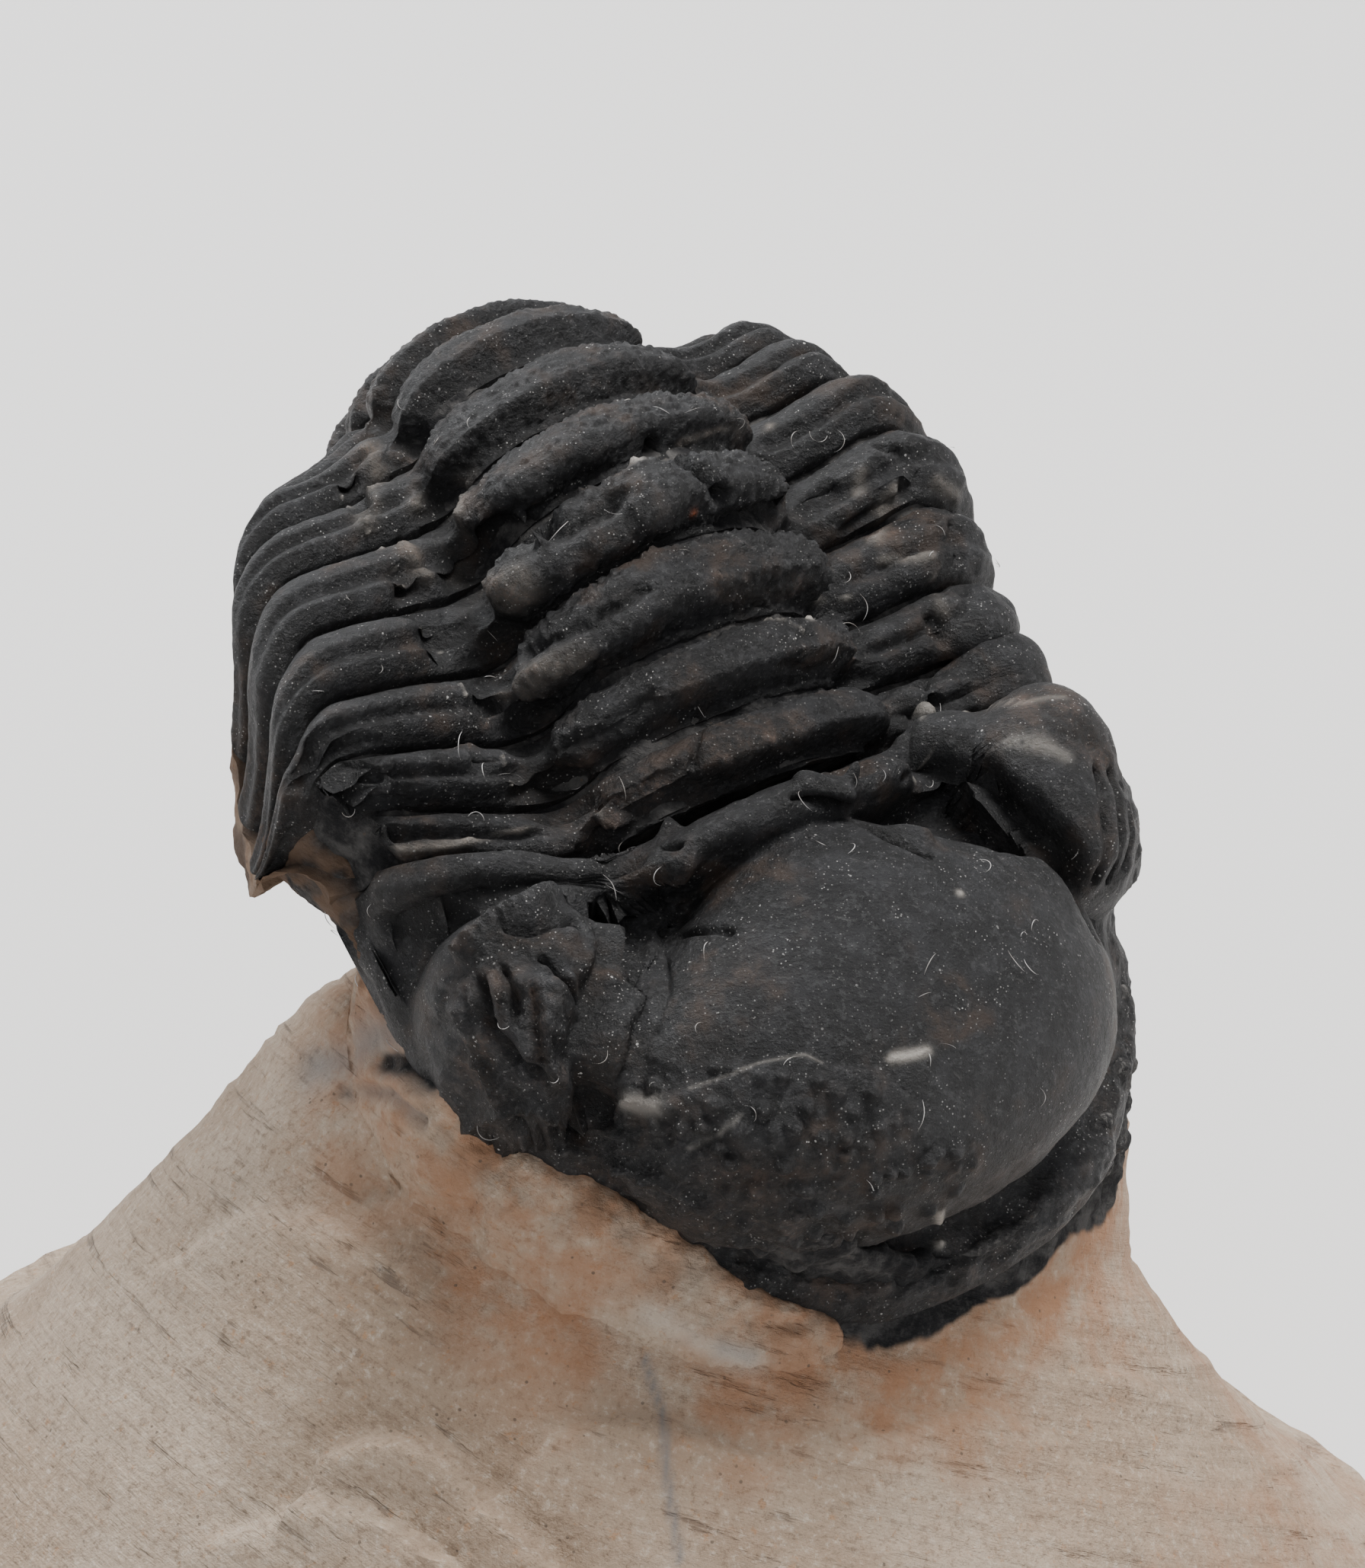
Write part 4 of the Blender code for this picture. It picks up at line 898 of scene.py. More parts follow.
def dress_thorax(skins):
    """Grain on the rings, wear on the crests, rock caught in the furrows at their ends, and brown stripes
    down the rib tips. Painted shade darkens the furrows where no rock is caught, and the front of each ring."""
    for number, skin in enumerate(skins):
        on_ring = smooth((FURROW_AT - 0.02 - np.abs(skin.place)) / 0.03)
        granular = RING_GRAIN[min(number, len(RING_GRAIN) - 1)]
        skin.push += on_ring * granular * 0.2 * rough(skin.points, 0.9, 81)
        skin.push += on_ring * granular * 0.13 * smooth((0.5 - grains(skin.points, 0.34, 83)) / 0.3)
        skin.push += on_ring * 0.22 * rough(skin.points, 2.6, 85, 2)
        rib_grain = 0.1 * rough(skin.points, 1.4, 87) + 0.03 * rough(skin.points, 0.35, 89)
        skin.push += (1.0 - on_ring) * rib_grain
        right = smooth((skin.place - FURROW_AT - 0.05) / 0.1)
        skin.push += right * (0.3 * rough(skin.points, 2.2, 88, 3) + 0.1 * rough(skin.points, 0.6, 90, 3))
        furrow = np.exp(-((np.abs(skin.place) - FURROW_AT - 0.01) / 0.03) ** 2)
        caught = furrow * smooth(0.1 + 1.8 * rough(skin.points, 1.6, 91))
        skin.push += 0.3 * caught * (1.0 + rough(skin.points, 0.6, 93)) - 0.35 * furrow
        skin.tint("brown", 0.9 * caught)
        # painted shade: the furrow floor is darkened where no rock is caught
        skin.tint("dark", 0.7 * furrow * (1.0 - caught))
        crest = np.exp(-((skin.station - 0.5) / 0.22) ** 2)
        skin.tint("grey", crest * smooth(1.4 * rough(skin.points, 1.8, 95)) * (0.45 + 0.4 * on_ring))
        low = smooth((np.abs(skin.place) - SHOULDER_AT - 0.12) / 0.2)
        stripes = 0.5 + 0.5 * np.cos(2.0 * math.pi * 3.0 * skin.station + 0.6 * number)
        skin.push += 0.12 * low * (stripes - 0.5)
        skin.tint("brown", low * stripes * smooth(0.65 + 1.4 * rough(skin.points, 1.5, 97)))
        skin.tint("brown", 0.5 * smooth(2.6 * rough(skin.points, 2.2, 99) - 0.9))
        # painted shade in the sunken hollow at the front of each ring
        painted_front_shade = (1.0 - smooth(skin.station / 0.3)) * on_ring
        skin.tint("dark", 0.8 * painted_front_shade)


def grinding(angle):
    """Turns a slope's two front-view distances by an angle, then draws them out: long along the wheel's
    strokes and fine across them."""
    return np.array([[0.45 * math.cos(angle), -3.6 * math.sin(angle), 0.0],
                     [0.45 * math.sin(angle), 3.6 * math.cos(angle), 0.0], [0.0, 0.0, 0.0]])


def nearest_of(points, spots):
    """Distance of points from the nearest of some spots."""
    distance = np.full(points.shape[:2], FAR)
    for spot in spots:
        distance = np.minimum(distance, np.linalg.norm(points - spot, axis=-1))
    return distance


def dress_rock(mound, filling, head):
    """Saw and grinder marks, shallow scoops, and the rough dark rock and rust near the fossil, by distance
    from the head's rim."""
    points = mound.points
    distance = nearest_of(points, head.points[-1][::4])
    right = points[..., 0] - HINGE[0]
    front_right = smooth((right + 2.0) / 5.0)
    dark_reach = 0.2 + 0.3 * front_right + 1.7 * smooth((right - 9.8) / 2.2)
    dark_reach = dark_reach + 0.5 * rough(points, 1.7, 101)
    dark = 1.0 - smooth((distance - dark_reach) / 0.7)
    mound.tint("dark", dark)
    mound.push += dark * (0.45 * rough(points, 1.0, 103) + 0.18 * rough(points, 0.4, 104, 2))
    rust = np.exp(-((distance - 2.0) / 3.4) ** 2) * smooth(0.75 + 1.2 * rough(points, 2.6, 105))
    slope = smooth((right - 6.0) / 8.0) * smooth(0.5 + 1.2 * rough(points, 3.0, 107))
    mound.tint("rust", np.maximum(0.95 * rust, 0.6 * slope))
    mound.push += (1.0 - dark) * (0.22 * rough(points, 5.0, 109, 3) + 0.04 * rough(points, 0.6, 110, 3))
    flat = np.stack([points[..., 0], -0.53 * points[..., 1] - 0.848 * points[..., 2], 0.0 * right], axis=-1)
    left_lines, right_lines = (noise(flat @ grinding(angle), 1.0, 111 + index)
                               for index, angle in enumerate(GRINDING))
    side = smooth((right + 8.0) / 7.0)
    mound.push += (1.0 - dark) * 0.075 * (left_lines * (1.0 - side) + right_lines * side)
    filling.push += 0.3 * rough(filling.points, 1.2, 121) + 0.08 * rough(filling.points, 0.4, 123)
    filling.tint("rust", 0.7 * smooth(0.4 + 1.5 * rough(filling.points, 1.8, 125)))
    filling.tint("dark", 0.75 * smooth(1.1 * rough(filling.points, 2.2, 127) + 0.5))


def dress_banks(tan_bank, flank, dark_bank, mound):
    """Rust and brown earth on the tan bank, strongest next to the head, brown rock on the flank, and knobs on
    the dark rim. The mound is dark between the rim and the head."""
    dark_bank.push += 0.22 * smooth((0.5 - grains(dark_bank.points, 0.9, 153)) / 0.4)
    dark_bank.tint("dark", 1.0)
    dark_bank.tint("grey", smooth((dark_bank.points[..., 0] - HINGE[0] - 5.0) / 5.0))
    half_turn = dark_bank.points.shape[1] // 2
    inner_edge = nearest_of(mound.points, dark_bank.points[::16, half_turn])
    outer_edge = nearest_of(mound.points, dark_bank.points[::16, 0])
    behind_rim = smooth((outer_edge - inner_edge) / 0.4 + 0.5)
    mound.tint("dark", behind_rim * (1.0 - smooth((inner_edge - 4.0) / 1.0)))
    near = np.exp(-((tan_bank.turn - math.pi) / 1.1) ** 2)
    tan_bank.tint("rust", (0.75 + 0.25 * near) * smooth(0.7 + 1.2 * rough(tan_bank.points, 2.6, 105)))
    tan_bank.tint("brown", 0.85 * near * smooth(0.6 + 1.5 * rough(tan_bank.points, 0.9, 145)))
    flank.push -= 0.2 * rough(flank.points, 1.5, 161)
    flank.tint("dark", 1.0)
    flank.tint("grey", smooth(0.3 + 1.4 * rough(flank.points, 1.0, 163)))
    flank.tint("brown", 0.9 * smooth(0.6 + 1.6 * rough(flank.points, 0.9, 165)))


ROCK_MARKS = [
    ("groove", [(525, 1402)], 0.35, -0.5, {"dark": 0.8}),
    ("groove", [(470, 1552), (500, 1560)], 0.5, -0.45, {"rust": 0.8}),
    ("groove", [(570, 1592), (600, 1590)], 0.35, -0.35, {"rust": 0.8}),
    ("ridge", [(860, 1730), (920, 1765), (990, 1800)], 0.4, 0.1, {"pale": 0.5}),
    ("groove", [(400, 1395), (470, 1360), (530, 1345)], 0.8, -0.3, {"grey": 0.9}),
    ("groove", [(480, 1400), (520, 1395), (555, 1410)], 0.5, -0.5, {"dark": 0.75, "grey": 0.8}),
    ("groove", [(440, 1432), (500, 1440), (540, 1470)], 0.3, -0.35, {"grey": 0.6}),
    ("ridge", [(850, 1790), (872, 1850), (880, 1930), (893, 2050)], 0.14, 0.0, {"grey": 1.0}),
    ("ridge", [(950, 1778), (985, 1790)], 0.3, 0.0, {"grey": 0.8}),
    ("step", [(395, 1960), (410, 1915), (470, 1888), (545, 1888), (590, 1915), (640, 1975), (710, 2050)],
     0.16, 0.85, {"brown": 0.28}),
    ("step", [(330, 2000), (400, 1975), (480, 1985), (560, 2030)], 0.16, 0.6, {"brown": 0.22}),
    ("step", [(640, 1960), (720, 1880), (860, 1860), (960, 1900)], 0.2, 0.5, {"brown": 0.15}),
    ("step", [(240, 1640), (330, 1590), (430, 1600), (520, 1660)], 0.2, 0.6, {"brown": 0.12}),
    ("step", [(1480, 1800), (1560, 1830), (1640, 1900), (1700, 1990)], 0.2, 0.6, {"brown": 0.22}),
    ("step", [(1180, 1880), (1280, 1850), (1390, 1880), (1450, 1960)], 0.2, 0.5, {"brown": 0.18}),
    ("groove", [(1000, 1735), (1060, 1745)], 0.3, -0.3, {"rust": 0.7}),
]


# ---- Meshes ----


def ring_faces(index):
    """Quads between each row of a grid of vertex numbers and the next, with every row closed to a ring."""
    near, far = index[:-1], index[1:]
    quads = np.stack([near, np.roll(near, -1, axis=1), np.roll(far, -1, axis=1), far], axis=-1)
    return quads.reshape(-1, 4).tolist()


def add_mesh(name, points, faces, material, tints, join):
    """A mesh piece at the origin, from points in millimetres, with faces turned outwards and tints on points.
    Joining makes close points one and keeps sharp edges sharp."""
    mesh = bpy.data.meshes.new(name)
    mesh.from_pydata((points * MM).tolist(), [], faces)
    for tint, values in tints.items():
        layer = mesh.attributes.new(tint, "FLOAT", "POINT")
        layer.data.foreach_set("value", values.reshape(-1).astype(np.float32))
    shape = bmesh.new()
    shape.from_mesh(mesh)
    if join:
        bmesh.ops.remove_doubles(shape, verts=shape.verts, dist=JOIN_DISTANCE)
    bmesh.ops.recalc_face_normals(shape, faces=shape.faces)
    shape.to_mesh(mesh)
    shape.free()
    mesh.shade_smooth()
    if join:
        mesh.set_sharp_from_angle(angle=SHARP_EDGE)
    mesh.materials.append(material)
    thing = bpy.data.objects.new(name, mesh)
    bpy.context.scene.collection.objects.link(thing)
    return thing


def closed_mesh(skin, material, pole_start, pole_end):
    """One closed mesh from a skin and its closing rows or columns, kept inside the solids' box. Rows that
    shrink to a point become one vertex, and open ends get a flat cap."""
    low, high = (np.array(corner) / MM for corner in cad_box)
    outer = np.clip(skin.pushed(), low + BOX_MARGIN, high - BOX_MARGIN)
    tints = dict(skin.tints)
    if skin.closing is not None:
        axis = 1 if skin.closing.shape[0] == outer.shape[0] else 0
        outer = np.concatenate([outer, skin.closing], axis=axis)
        untinted = np.zeros(skin.closing.shape[:2])
        tints = {tint: np.concatenate([values, untinted], axis=axis) for tint, values in tints.items()}
    index = np.arange(outer.shape[0] * outer.shape[1]).reshape(outer.shape[:2])
    faces = ring_faces(index)
    if not pole_start:
        faces.append(index[0].tolist()[::-1])
    if not pole_end:
        faces.append(index[-1].tolist())
    return add_mesh(skin.name, outer.reshape(-1, 3), faces, material, tints, join=True)


# ---- Finishes ----


class Socket:
    """A node's output, with operators that add Math nodes."""

    def __init__(self, paint, output):
        """An output of one of a paint's nodes."""
        self.paint, self.output = paint, output

    def math(self, operation, first, second):
        """A Math node on two values."""
        return self.paint.node("ShaderNodeMath", {"operation": operation}, {0: first, 1: second})

    def __add__(self, other):
        """Sum."""
        return self.math("ADD", self, other)

    def __mul__(self, other):
        """Product."""
        return self.math("MULTIPLY", self, other)

    def __sub__(self, other):
        """Difference."""
        return self.math("SUBTRACT", self, other)

    def __rsub__(self, other):
        """Difference the other way round."""
        return self.math("SUBTRACT", other, self)

    __radd__ = __add__
    __rmul__ = __mul__

    def above(self, level, width):
        """Smooth step from 0 to 1 that starts at a level and ends a width further on."""
        settings = {"interpolation_type": "SMOOTHSTEP"}
        sockets = {0: self, 1: level, 2: level + width, 3: 0.0, 4: 1.0}
        return self.paint.node("ShaderNodeMapRange", settings, sockets)

    def clipped(self):
        """The value kept between 0 and 1."""
        return self.paint.node("ShaderNodeClamp", {}, {0: self})


class Paint:
    """One material's node tree."""

    def __init__(self, name):
        """An empty tree with its shader and the piece's own coordinates."""
        self.material = bpy.data.materials.new(name)
        self.material.use_nodes = True
        self.tree = self.material.node_tree
        self.shader = self.tree.nodes["Principled BSDF"]
        self.place = self.node("ShaderNodeTexCoord", {}, {}, "Object")

    def node(self, kind, settings, sockets, output=0):
        """Any node: its settings first, then its sockets as values or links. Gives one of its outputs."""
        made = self.tree.nodes.new(kind)
        for name, value in settings.items():
            setattr(made, name, value)
        for name, value in sockets.items():
            if isinstance(value, Socket):
                self.tree.links.new(value.output, made.inputs[name])
            else:
                made.inputs[name].default_value = value
        return Socket(self, made.outputs[output])

    def tint(self, name):
        """A tint stored on the piece's points."""
        return self.node("ShaderNodeAttribute", {"attribute_name": name}, {}, "Fac")

    def noise(self, per_mm, detail=4.0, roughness=0.55, place=None):
        """Layered noise with a number of waves to the millimetre."""
        sockets = {"Vector": place or self.place, "Scale": per_mm / MM, "Detail": detail,
                   "Roughness": roughness}
        return self.node("ShaderNodeTexNoise", {}, sockets, "Fac")

    def stretched(self, turn, scale):
        """Object coordinates turned and stretched, for lines."""
        settings = {"vector_type": "POINT"}
        sockets = {"Vector": self.place, "Rotation": turn, "Scale": scale}
        return self.node("ShaderNodeMapping", settings, sockets)

    def strokes(self, angle):
        """Front-view distances along and across strokes at an angle, long one way and fine the other."""
        turned = ((0.5 * math.cos(angle), -0.265 * math.sin(angle), -0.42 * math.sin(angle)),
                  (-3.4 * math.sin(angle), -1.8 * math.cos(angle), -2.9 * math.cos(angle)))
        dot = {"operation": "DOT_PRODUCT"}
        parts = [self.node("ShaderNodeVectorMath", dot, {0: self.place, 1: way}, "Value") for way in turned]
        return self.node("ShaderNodeCombineXYZ", {}, {"X": parts[0], "Y": parts[1]})

    def specks(self, per_mm, size):
        """Round spots of a size, as a share of a cell, in a few of the cells."""
        cell = {"Vector": self.place, "Scale": per_mm / MM, "Randomness": 1.0}
        distance = self.node("ShaderNodeTexVoronoi", {"feature": "F1"}, cell, "Distance")
        return 1.0 - distance.above(0.6 * size, 0.4 * size)

    def mix(self, factor, first, second):
        """Colour between two by a factor."""
        settings = {"data_type": "RGBA"}
        return self.node("ShaderNodeMix", settings, {0: factor, 6: first, 7: second}, 2)

    def finish(self, colour, roughness, height, distance, gloss):
        """Links colour, roughness and a bump of a height in millimetres to the shader, and sets its gloss."""
        bump = self.node("ShaderNodeBump", {}, {"Height": height, "Distance": distance * MM, "Strength": 1.0})
        self.shader.inputs["Specular IOR Level"].default_value = gloss
        for name, value in (("Base Color", colour), ("Roughness", roughness), ("Normal", bump)):
            self.tree.links.new(value.output, self.shader.inputs[name])
        return self.material


def colour(red, green, blue):
    """Opaque colour."""
    return (red, green, blue, 1.0)


def shell_finish():
    """Black fossil shell: mottled black and charcoal, brown stains, worn grey crests, pale chips, dust specks
    and fine scratches, painted shade from the dark tint in grooves and furrows, with grit and wrinkles as a
    bump."""
    paint = Paint("black_shell")
    mottle = paint.noise(0.9, 6.0, 0.62)
    fine = paint.noise(6.0, 5.0, 0.6)
    blotch = paint.noise(0.33, 4.0, 0.55)
    brown, pale, dark = paint.tint("brown"), paint.tint("pale"), paint.tint("dark")
    rust, grey = paint.tint("rust"), paint.tint("grey")
    skin = paint.mix(mottle.above(0.38, 0.3), colour(0.0025, 0.0025, 0.0028), colour(0.0145, 0.0148, 0.0165))
    grit = paint.noise(3.4, 6.0, 0.75)
    skin = paint.mix((grit.above(0.53, 0.08) * 0.5).clipped(), skin, colour(0.05, 0.05, 0.052))
    skin = paint.mix((fine.above(0.5, 0.2) * grey).clipped(), skin, colour(0.06, 0.058, 0.058))
    stain = (blotch.above(0.5, 0.14) * mottle.above(0.42, 0.2) * 0.8).clipped()
    skin = paint.mix(stain, skin, colour(0.036, 0.022, 0.0145))
    earth = paint.mix(mottle.above(0.45, 0.25), colour(0.018, 0.011, 0.007), colour(0.12, 0.08, 0.06))
    skin = paint.mix((brown * fine.above(0.3, 0.3) * 0.9).clipped(), skin, earth)
    skin = paint.mix(rust, skin, colour(0.35, 0.09, 0.03))
    skin = paint.mix((pale * mottle.above(0.3, 0.2)).clipped(), skin, colour(0.42, 0.39, 0.35))
    # painted shade: the dark tint darkens the shell's grooves, furrows and ring fronts to near black
    skin = paint.mix((dark * 0.75).clipped(), skin, colour(0.003, 0.003, 0.0033))
    sparse = paint.noise(0.7, 2.0, 0.5).above(0.5, 0.15)
    dust = (paint.specks(1.6, 0.085) * sparse * 0.8 + paint.specks(4.4, 0.14) * (0.04 + sparse * 0.5)
            + paint.specks(6.8, 0.21) * fine.above(0.42, 0.2) * (0.3 + sparse * 0.5)).clipped()
    skin = paint.mix(dust, skin, colour(0.55, 0.54, 0.52))
    scratch_place = paint.stretched((0.4, 0.9, 0.3), (1.0, 7.0, 3.0))
    scratches = paint.noise(1.1, 3.0, 0.5, scratch_place).above(0.66, 0.06) * 0.2
    skin = paint.mix(scratches.clipped(), skin, colour(0.12, 0.115, 0.11))
    shine = 0.35 + fine * 0.28 + mottle * 0.08 - grey * 0.04 + brown * 0.2 + dust * 0.2
    wrinkles = paint.noise(1.3, 5.0, 0.7, paint.stretched((0.9, 0.3, 0.6), (1.0, 2.2, 1.5)))
    height = fine * 0.45 + paint.noise(14.0, 3.0, 0.6) * 0.2 + mottle * 0.6 + grit + wrinkles * 0.6
    return paint.finish(skin, shine.clipped(), height, 0.15, 0.45)


def stone_finish():
    """Sawn limestone: warm tan with paler fields, orange and dark flecks, tool lines and gouges, rust and
    grey stains, and the rough near-black rock next to the fossil."""
    paint = Paint("tan_limestone")
    cloud = paint.noise(0.13, 5.0, 0.6)
    mottle = paint.noise(0.7, 6.0, 0.65)
    fine = paint.noise(4.5, 4.0, 0.65)
    brown, pale, dark = paint.tint("brown"), paint.tint("pale"), paint.tint("dark")
    rust, grey = paint.tint("rust"), paint.tint("grey")
    stone = paint.mix(cloud.above(0.36, 0.3), colour(0.36, 0.27, 0.195), colour(0.455, 0.365, 0.28))
    stone = paint.mix((mottle.above(0.5, 0.2) * 0.35).clipped(), stone, colour(0.29, 0.21, 0.145))
    flecks = (paint.noise(2.2, 4.0, 0.7).above(0.6, 0.08) * 0.6).clipped()
    stone = paint.mix(flecks, stone, colour(0.4, 0.22, 0.11))
    left_lines, right_lines = (paint.noise(1.0, 4.0, 0.65, paint.strokes(angle)) for angle in GRINDING)
    across = paint.node("ShaderNodeSeparateXYZ", {}, {"Vector": paint.place}, "X")
    side = across.above(-0.006, 0.012)
    lines = left_lines * (1.0 - side) + right_lines * side
    patch = paint.noise(0.22, 3.0, 0.6).above(0.36, 0.3)
    stroke = lines.above(0.54, 0.12) * (0.3 + 0.6 * fine.above(0.4, 0.25)) * (0.25 + 0.6 * patch)
    stone = paint.mix(stroke.clipped(), stone, colour(0.17, 0.125, 0.092))
    stone = paint.mix(((0.45 - lines) * 4.0).clipped() * 0.3, stone, colour(0.54, 0.455, 0.37))
    left_gouges, right_gouges = (paint.noise(0.42, 5.0, 0.72, paint.strokes(angle)) for angle in GRINDING)
    gouges = left_gouges * (1.0 - side) + right_gouges * side
    gouge = gouges.above(0.57, 0.09) * (0.25 + 0.75 * mottle.above(0.4, 0.2))
    stone = paint.mix((gouge * 0.75).clipped(), stone, colour(0.15, 0.115, 0.09))
    grain = paint.noise(3.2, 6.0, 0.78)
    stone = paint.mix((grain.above(0.53, 0.1) * 0.6).clipped(), stone, colour(0.21, 0.15, 0.105))
    stone = paint.mix(((0.46 - grain) * 9.0).clipped() * 0.6, stone, colour(0.58, 0.5, 0.415))
    stone = paint.mix((rust * mottle.above(0.28, 0.32) * 0.85).clipped(), stone, colour(0.345, 0.17, 0.088))
    stone = paint.mix((grey * 0.8).clipped(), stone, colour(0.2, 0.195, 0.19))
    stone = paint.mix((pale * 0.7).clipped(), stone, colour(0.62, 0.57, 0.5))
    rock = paint.mix((mottle.above(0.42, 0.22) * 0.5 + fine.above(0.5, 0.2) * (0.2 + grey * 0.7)).clipped(),
                     colour(0.009, 0.009, 0.01), colour(0.12, 0.115, 0.11))
    stone = paint.mix(dark.above(0.3, 0.4), stone, rock)
    stone = paint.mix((brown * 0.9).clipped(), stone, colour(0.12, 0.075, 0.048))
    black = paint.specks(2.4, 0.16) * mottle.above(0.5, 0.1) * 0.7
    stone = paint.mix(black.clipped(), stone, colour(0.09, 0.07, 0.055))
    roughness = 0.82 + fine * 0.16
    height = fine * 0.4 + mottle * 0.5 + lines * 0.45 + paint.noise(12.0, 3.0, 0.6) * 0.2 - gouge * 0.35
    return paint.finish(stone, roughness.clipped(), height, 0.2, 0.3)


def floor_finish():
    """Pale paper."""
    paint = Paint("pale_paper")
    paint.shader.inputs["Base Color"].default_value = colour(0.8, 0.79, 0.78)
    paint.shader.inputs["Roughness"].default_value = 0.9
    return paint.material


# ---- Dust ----


def fibres(skins, material, count=96, seed=5):
    """Tiny white fibres that lie on the fossil: thin four-sided tubes along short curled paths, all in one
    mesh. A path turns evenly as it goes and lifts off the surface in half a sine wave."""
    generator = np.random.default_rng(seed)
    spots = np.stack([generator.uniform(420, 1420, count), generator.uniform(520, 1560, count)], axis=-1)
    roots, normals = pick(skins, spots)
    steps = np.linspace(0.0, 1.0, FIBRE_STEPS)
    swell = np.sin(math.pi * steps)[:, None]
    corner = np.arange(FIBRE_SIDES) * 2.0 * math.pi / FIBRE_SIDES
    numbers = np.arange(FIBRE_STEPS * FIBRE_SIDES)
    points, faces = [], []
    for root, normal, spin in zip(roots, normals, generator.uniform(0.0, 2.0 * math.pi, count)):
        side = np.cross(normal, [0.3, 0.2, 0.9])
        side /= np.linalg.norm(side)
        other = np.cross(normal, side)
        run, curl = generator.uniform(0.35, 1.1), generator.uniform(-3.0, 3.0)
        heading = spin + curl * steps
        way = np.cos(heading)[:, None] * side + np.sin(heading)[:, None] * other
        path = root + np.cumsum(way, axis=0) * run / FIBRE_STEPS + normal * (0.04 + 0.16 * swell * run)
        across = np.cross(normal, other)
        ring = np.cos(corner)[None, :, None] * normal + np.sin(corner)[None, :, None] * across
        tube = path[:, None] + 0.011 * (0.35 + swell)[:, None] * ring
        index = (numbers + len(points) * numbers.size).reshape(FIBRE_STEPS, FIBRE_SIDES)
        faces += ring_faces(index) + [index[0].tolist()[::-1], index[-1].tolist()]
        points.append(tube.reshape(-1, 3))
    return add_mesh("dust_fibres", np.concatenate(points), faces, material, {}, join=False)


def fibre_finish():
    """Pale lint."""
    paint = Paint("pale_lint")
    tone = paint.noise(1.5, 2.0, 0.5).above(0.35, 0.3)
    paint.tree.links.new(paint.mix(tone, colour(0.3, 0.28, 0.26), colour(0.62, 0.61, 0.6)).output,
                         paint.shader.inputs["Base Color"])
    paint.shader.inputs["Roughness"].default_value = 0.9
    return paint.material


# ---- Put together ----

head = head_skin()
plates = [thorax_skin(number) for number in range(len(PITCHES))]
tail = tail_skin()
filling = filling_skin()
mound = mound_skin()
fossil = [head] + plates + [tail]

dress_head(head)
dress_thorax(plates)
tail.push += 0.08 * rough(tail.points, 1.2, 131)
tail.tint("brown", 0.7 * smooth(1.5 * rough(tail.points, 1.6, 133)))
dress_rock(mound, filling, head)
tan_bank = bank_skin(
    "limestone_bank",
    pick([head], [(486, 1225), (500, 1310), (540, 1380), (580, 1440), (605, 1488), (640, 1512),
                  (700, 1528), (760, 1555), (820, 1592), (880, 1618), (940, 1650), (1000, 1680),
                  (1060, 1700), (1120, 1712)]),
    pick([mound], [(430, 1290), (425, 1370), (450, 1450), (490, 1530), (530, 1590), (580, 1640),
                   (640, 1680), (710, 1720), (780, 1755), (850, 1785), (920, 1810), (990, 1825),
                   (1060, 1825), (1130, 1810)]),
    rise=0.8, sink=0.4, seed=141, blunt=4)
flank = bank_skin(
    "flank_rock",
    placed([(400, 1050, 197.5), (430, 1105, 197.5), (462, 1150, 197.4), (485, 1190, 197.4),
            (498, 1235, 197.6), (508, 1280, 197.7)], (-0.5, -0.8, 0.3)),
    placed([(322, 1095, 199.9), (346, 1140, 199.8), (384, 1174, 199.5), (432, 1206, 199.2),
            (472, 1240, 199.0), (500, 1285, 198.6)], (-0.9, -0.1, -0.4)),
    rise=0.8, sink=0.15, seed=161, blunt=8, count=180, sides=60)
dark_bank = bank_skin(
    "dark_rim_rock",
    pick([head], [(860, 1570), (930, 1600), (1020, 1625), (1120, 1645), (1220, 1650), (1310, 1620),
                  (1380, 1575), (1430, 1515), (1462, 1450), (1474, 1380), (1478, 1300), (1470, 1235)]),
    pick([mound], [(880, 1600), (950, 1640), (1010, 1668), (1110, 1692), (1230, 1700), (1320, 1665),
                   (1385, 1600), (1440, 1560), (1490, 1560), (1500, 1480), (1500, 1400), (1497, 1300)]),
    rise=0.7, sink=0.45, seed=151, blunt=8)
dress_banks(tan_bank, flank, dark_bank, mound)
for kind, spots, width, height, tints in FOSSIL_MARKS:
    mark(fossil, kind, spots, width, height, **tints)
for kind, spots, width, height, tints in ROCK_MARKS:
    mark([mound, tan_bank], kind, spots, width, height, **tints)

black_shell = shell_finish()
tan_limestone = stone_finish()

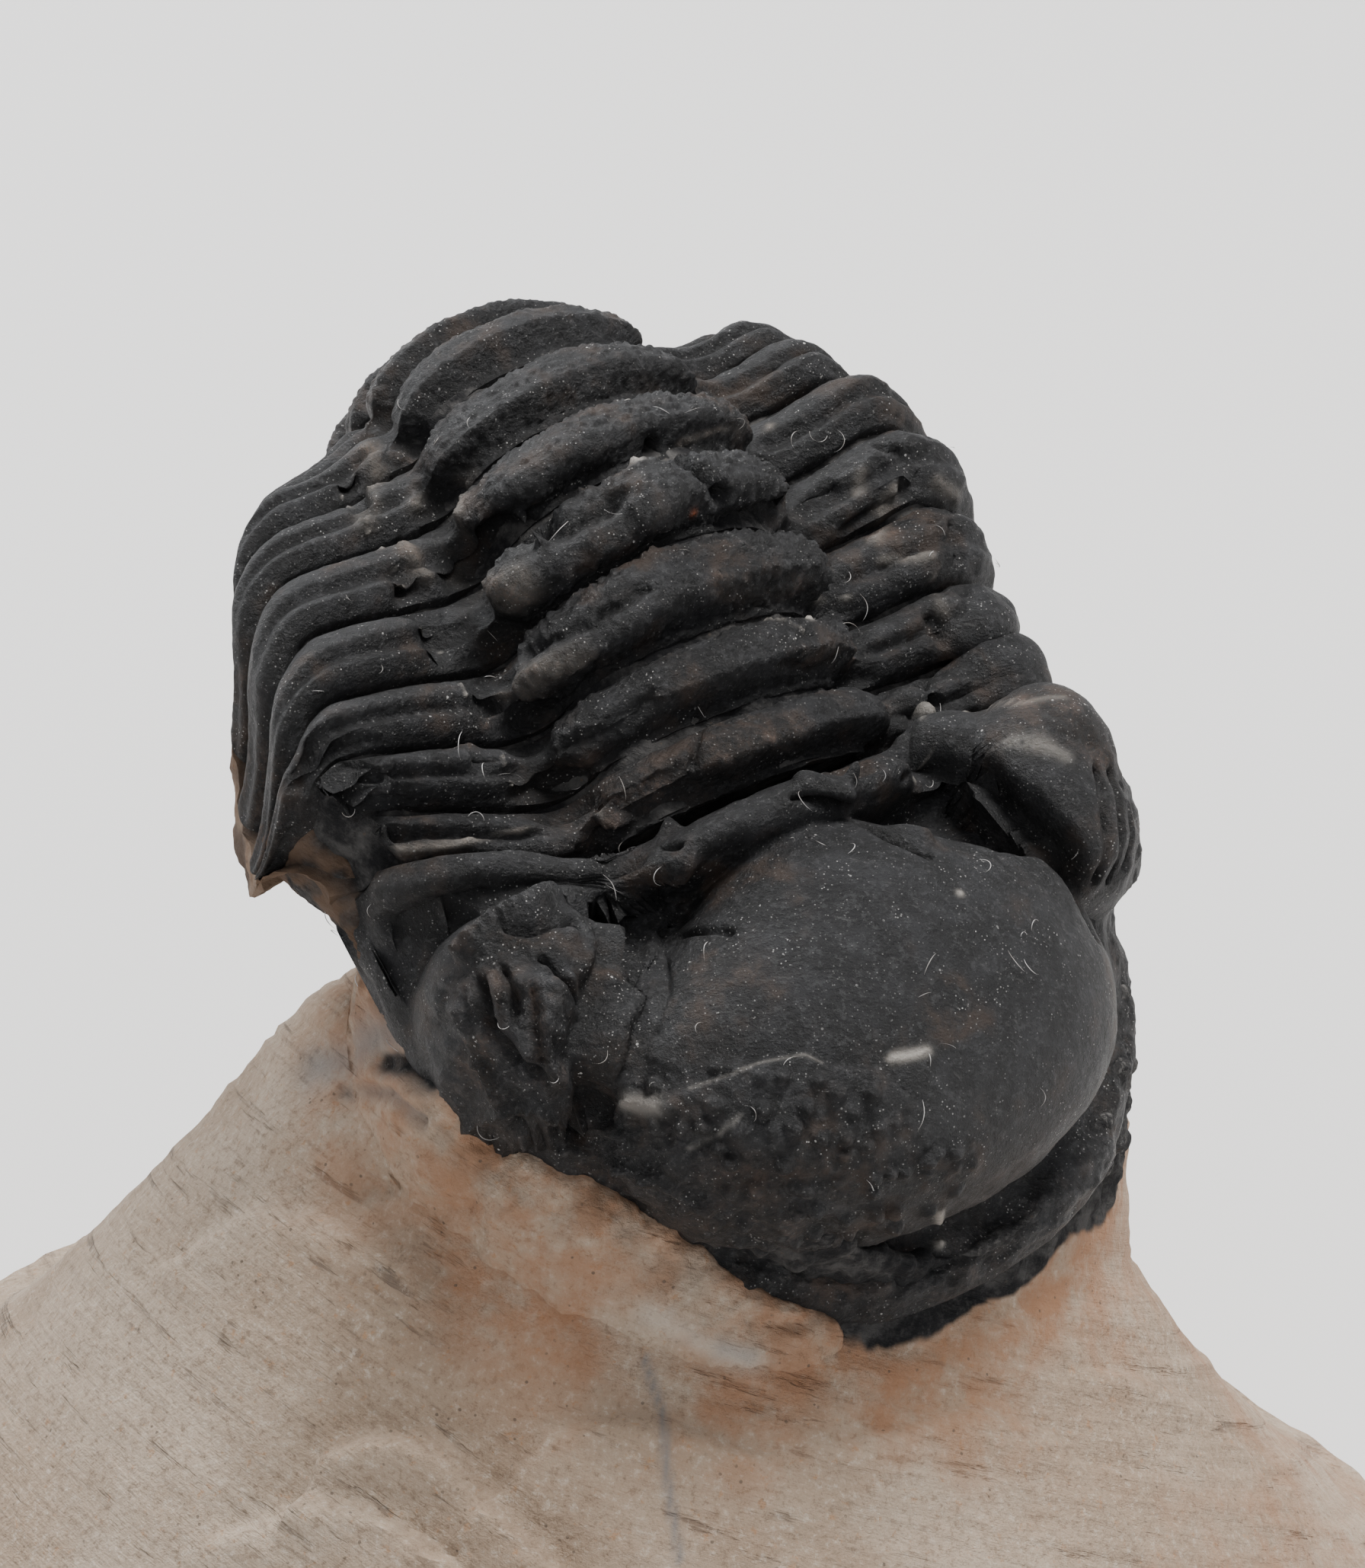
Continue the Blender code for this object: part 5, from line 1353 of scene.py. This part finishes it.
made = closed_mesh(head, black_shell, True, True)
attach(made, "root")
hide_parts("head_shield")
for number, skin in enumerate(plates):
    made = closed_mesh(skin, black_shell, False, False)
    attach(made, "root")
    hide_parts(f"thorax_segment_{number + 1:02d}")
made = closed_mesh(tail, black_shell, False, False)
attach(made, "root")
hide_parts("tail_shield")
for skin in (filling, mound, tan_bank, dark_bank, flank):
    made = closed_mesh(skin, tan_limestone, skin not in (filling, mound), skin is not filling)
    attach(made, "root")
    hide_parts("limestone_matrix")
lint = fibres(fossil, fibre_finish())
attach(lint, "root")

# ---- Floor, light and camera ----

bpy.ops.mesh.primitive_plane_add(size=FLOOR_SIZE, location=FLOOR_PLACE)
floor = bpy.context.object
floor.name = "floor"
floor.data.materials.append(floor_finish())


def area_light(name, place, size, power, tone):
    """Square soft light at a place, turned to the fossil's hinge, both in millimetres."""
    lamp = bpy.data.lights.new(name, "AREA")
    lamp.size, lamp.energy, lamp.color = size * MM, power, tone
    thing = bpy.data.objects.new(name, lamp)
    bpy.context.scene.collection.objects.link(thing)
    thing.location = Vector(place) * MM
    thing.rotation_euler = (Vector(HINGE) - Vector(place)).to_track_quat("-Z", "Y").to_euler()


area_light("key_light", (95.0, 70.0, 350.0), 140.0, 2.0, (1.0, 0.985, 0.965))
area_light("rear_light", (-170.0, 250.0, 230.0), 170.0, 1.2, (0.97, 0.985, 1.0))
area_light("front_light", (-40.0, -300.0, 250.0), 260.0, 0.4, (1.0, 0.99, 0.97))
world = bpy.data.worlds.new("studio")
world.use_nodes = True
sky = world.node_tree.nodes["Background"].inputs
sky["Color"].default_value, sky["Strength"].default_value = colour(0.9, 0.93, 1.0), SKY_STRENGTH
bpy.context.scene.world = world

lens = bpy.data.cameras.new("camera")
lens.sensor_fit = "VERTICAL"
lens.sensor_height = SENSOR
lens.lens = LENS
lens.clip_start, lens.clip_end = NEAR_CLIP, FAR_CLIP
camera = bpy.data.objects.new("camera", lens)
bpy.context.scene.collection.objects.link(camera)
camera.location = Vector(CAMERA_PLACE * MM)
camera.rotation_euler = Vector(VIEW).to_track_quat("-Z", "Y").to_euler()
bpy.context.scene.camera = camera
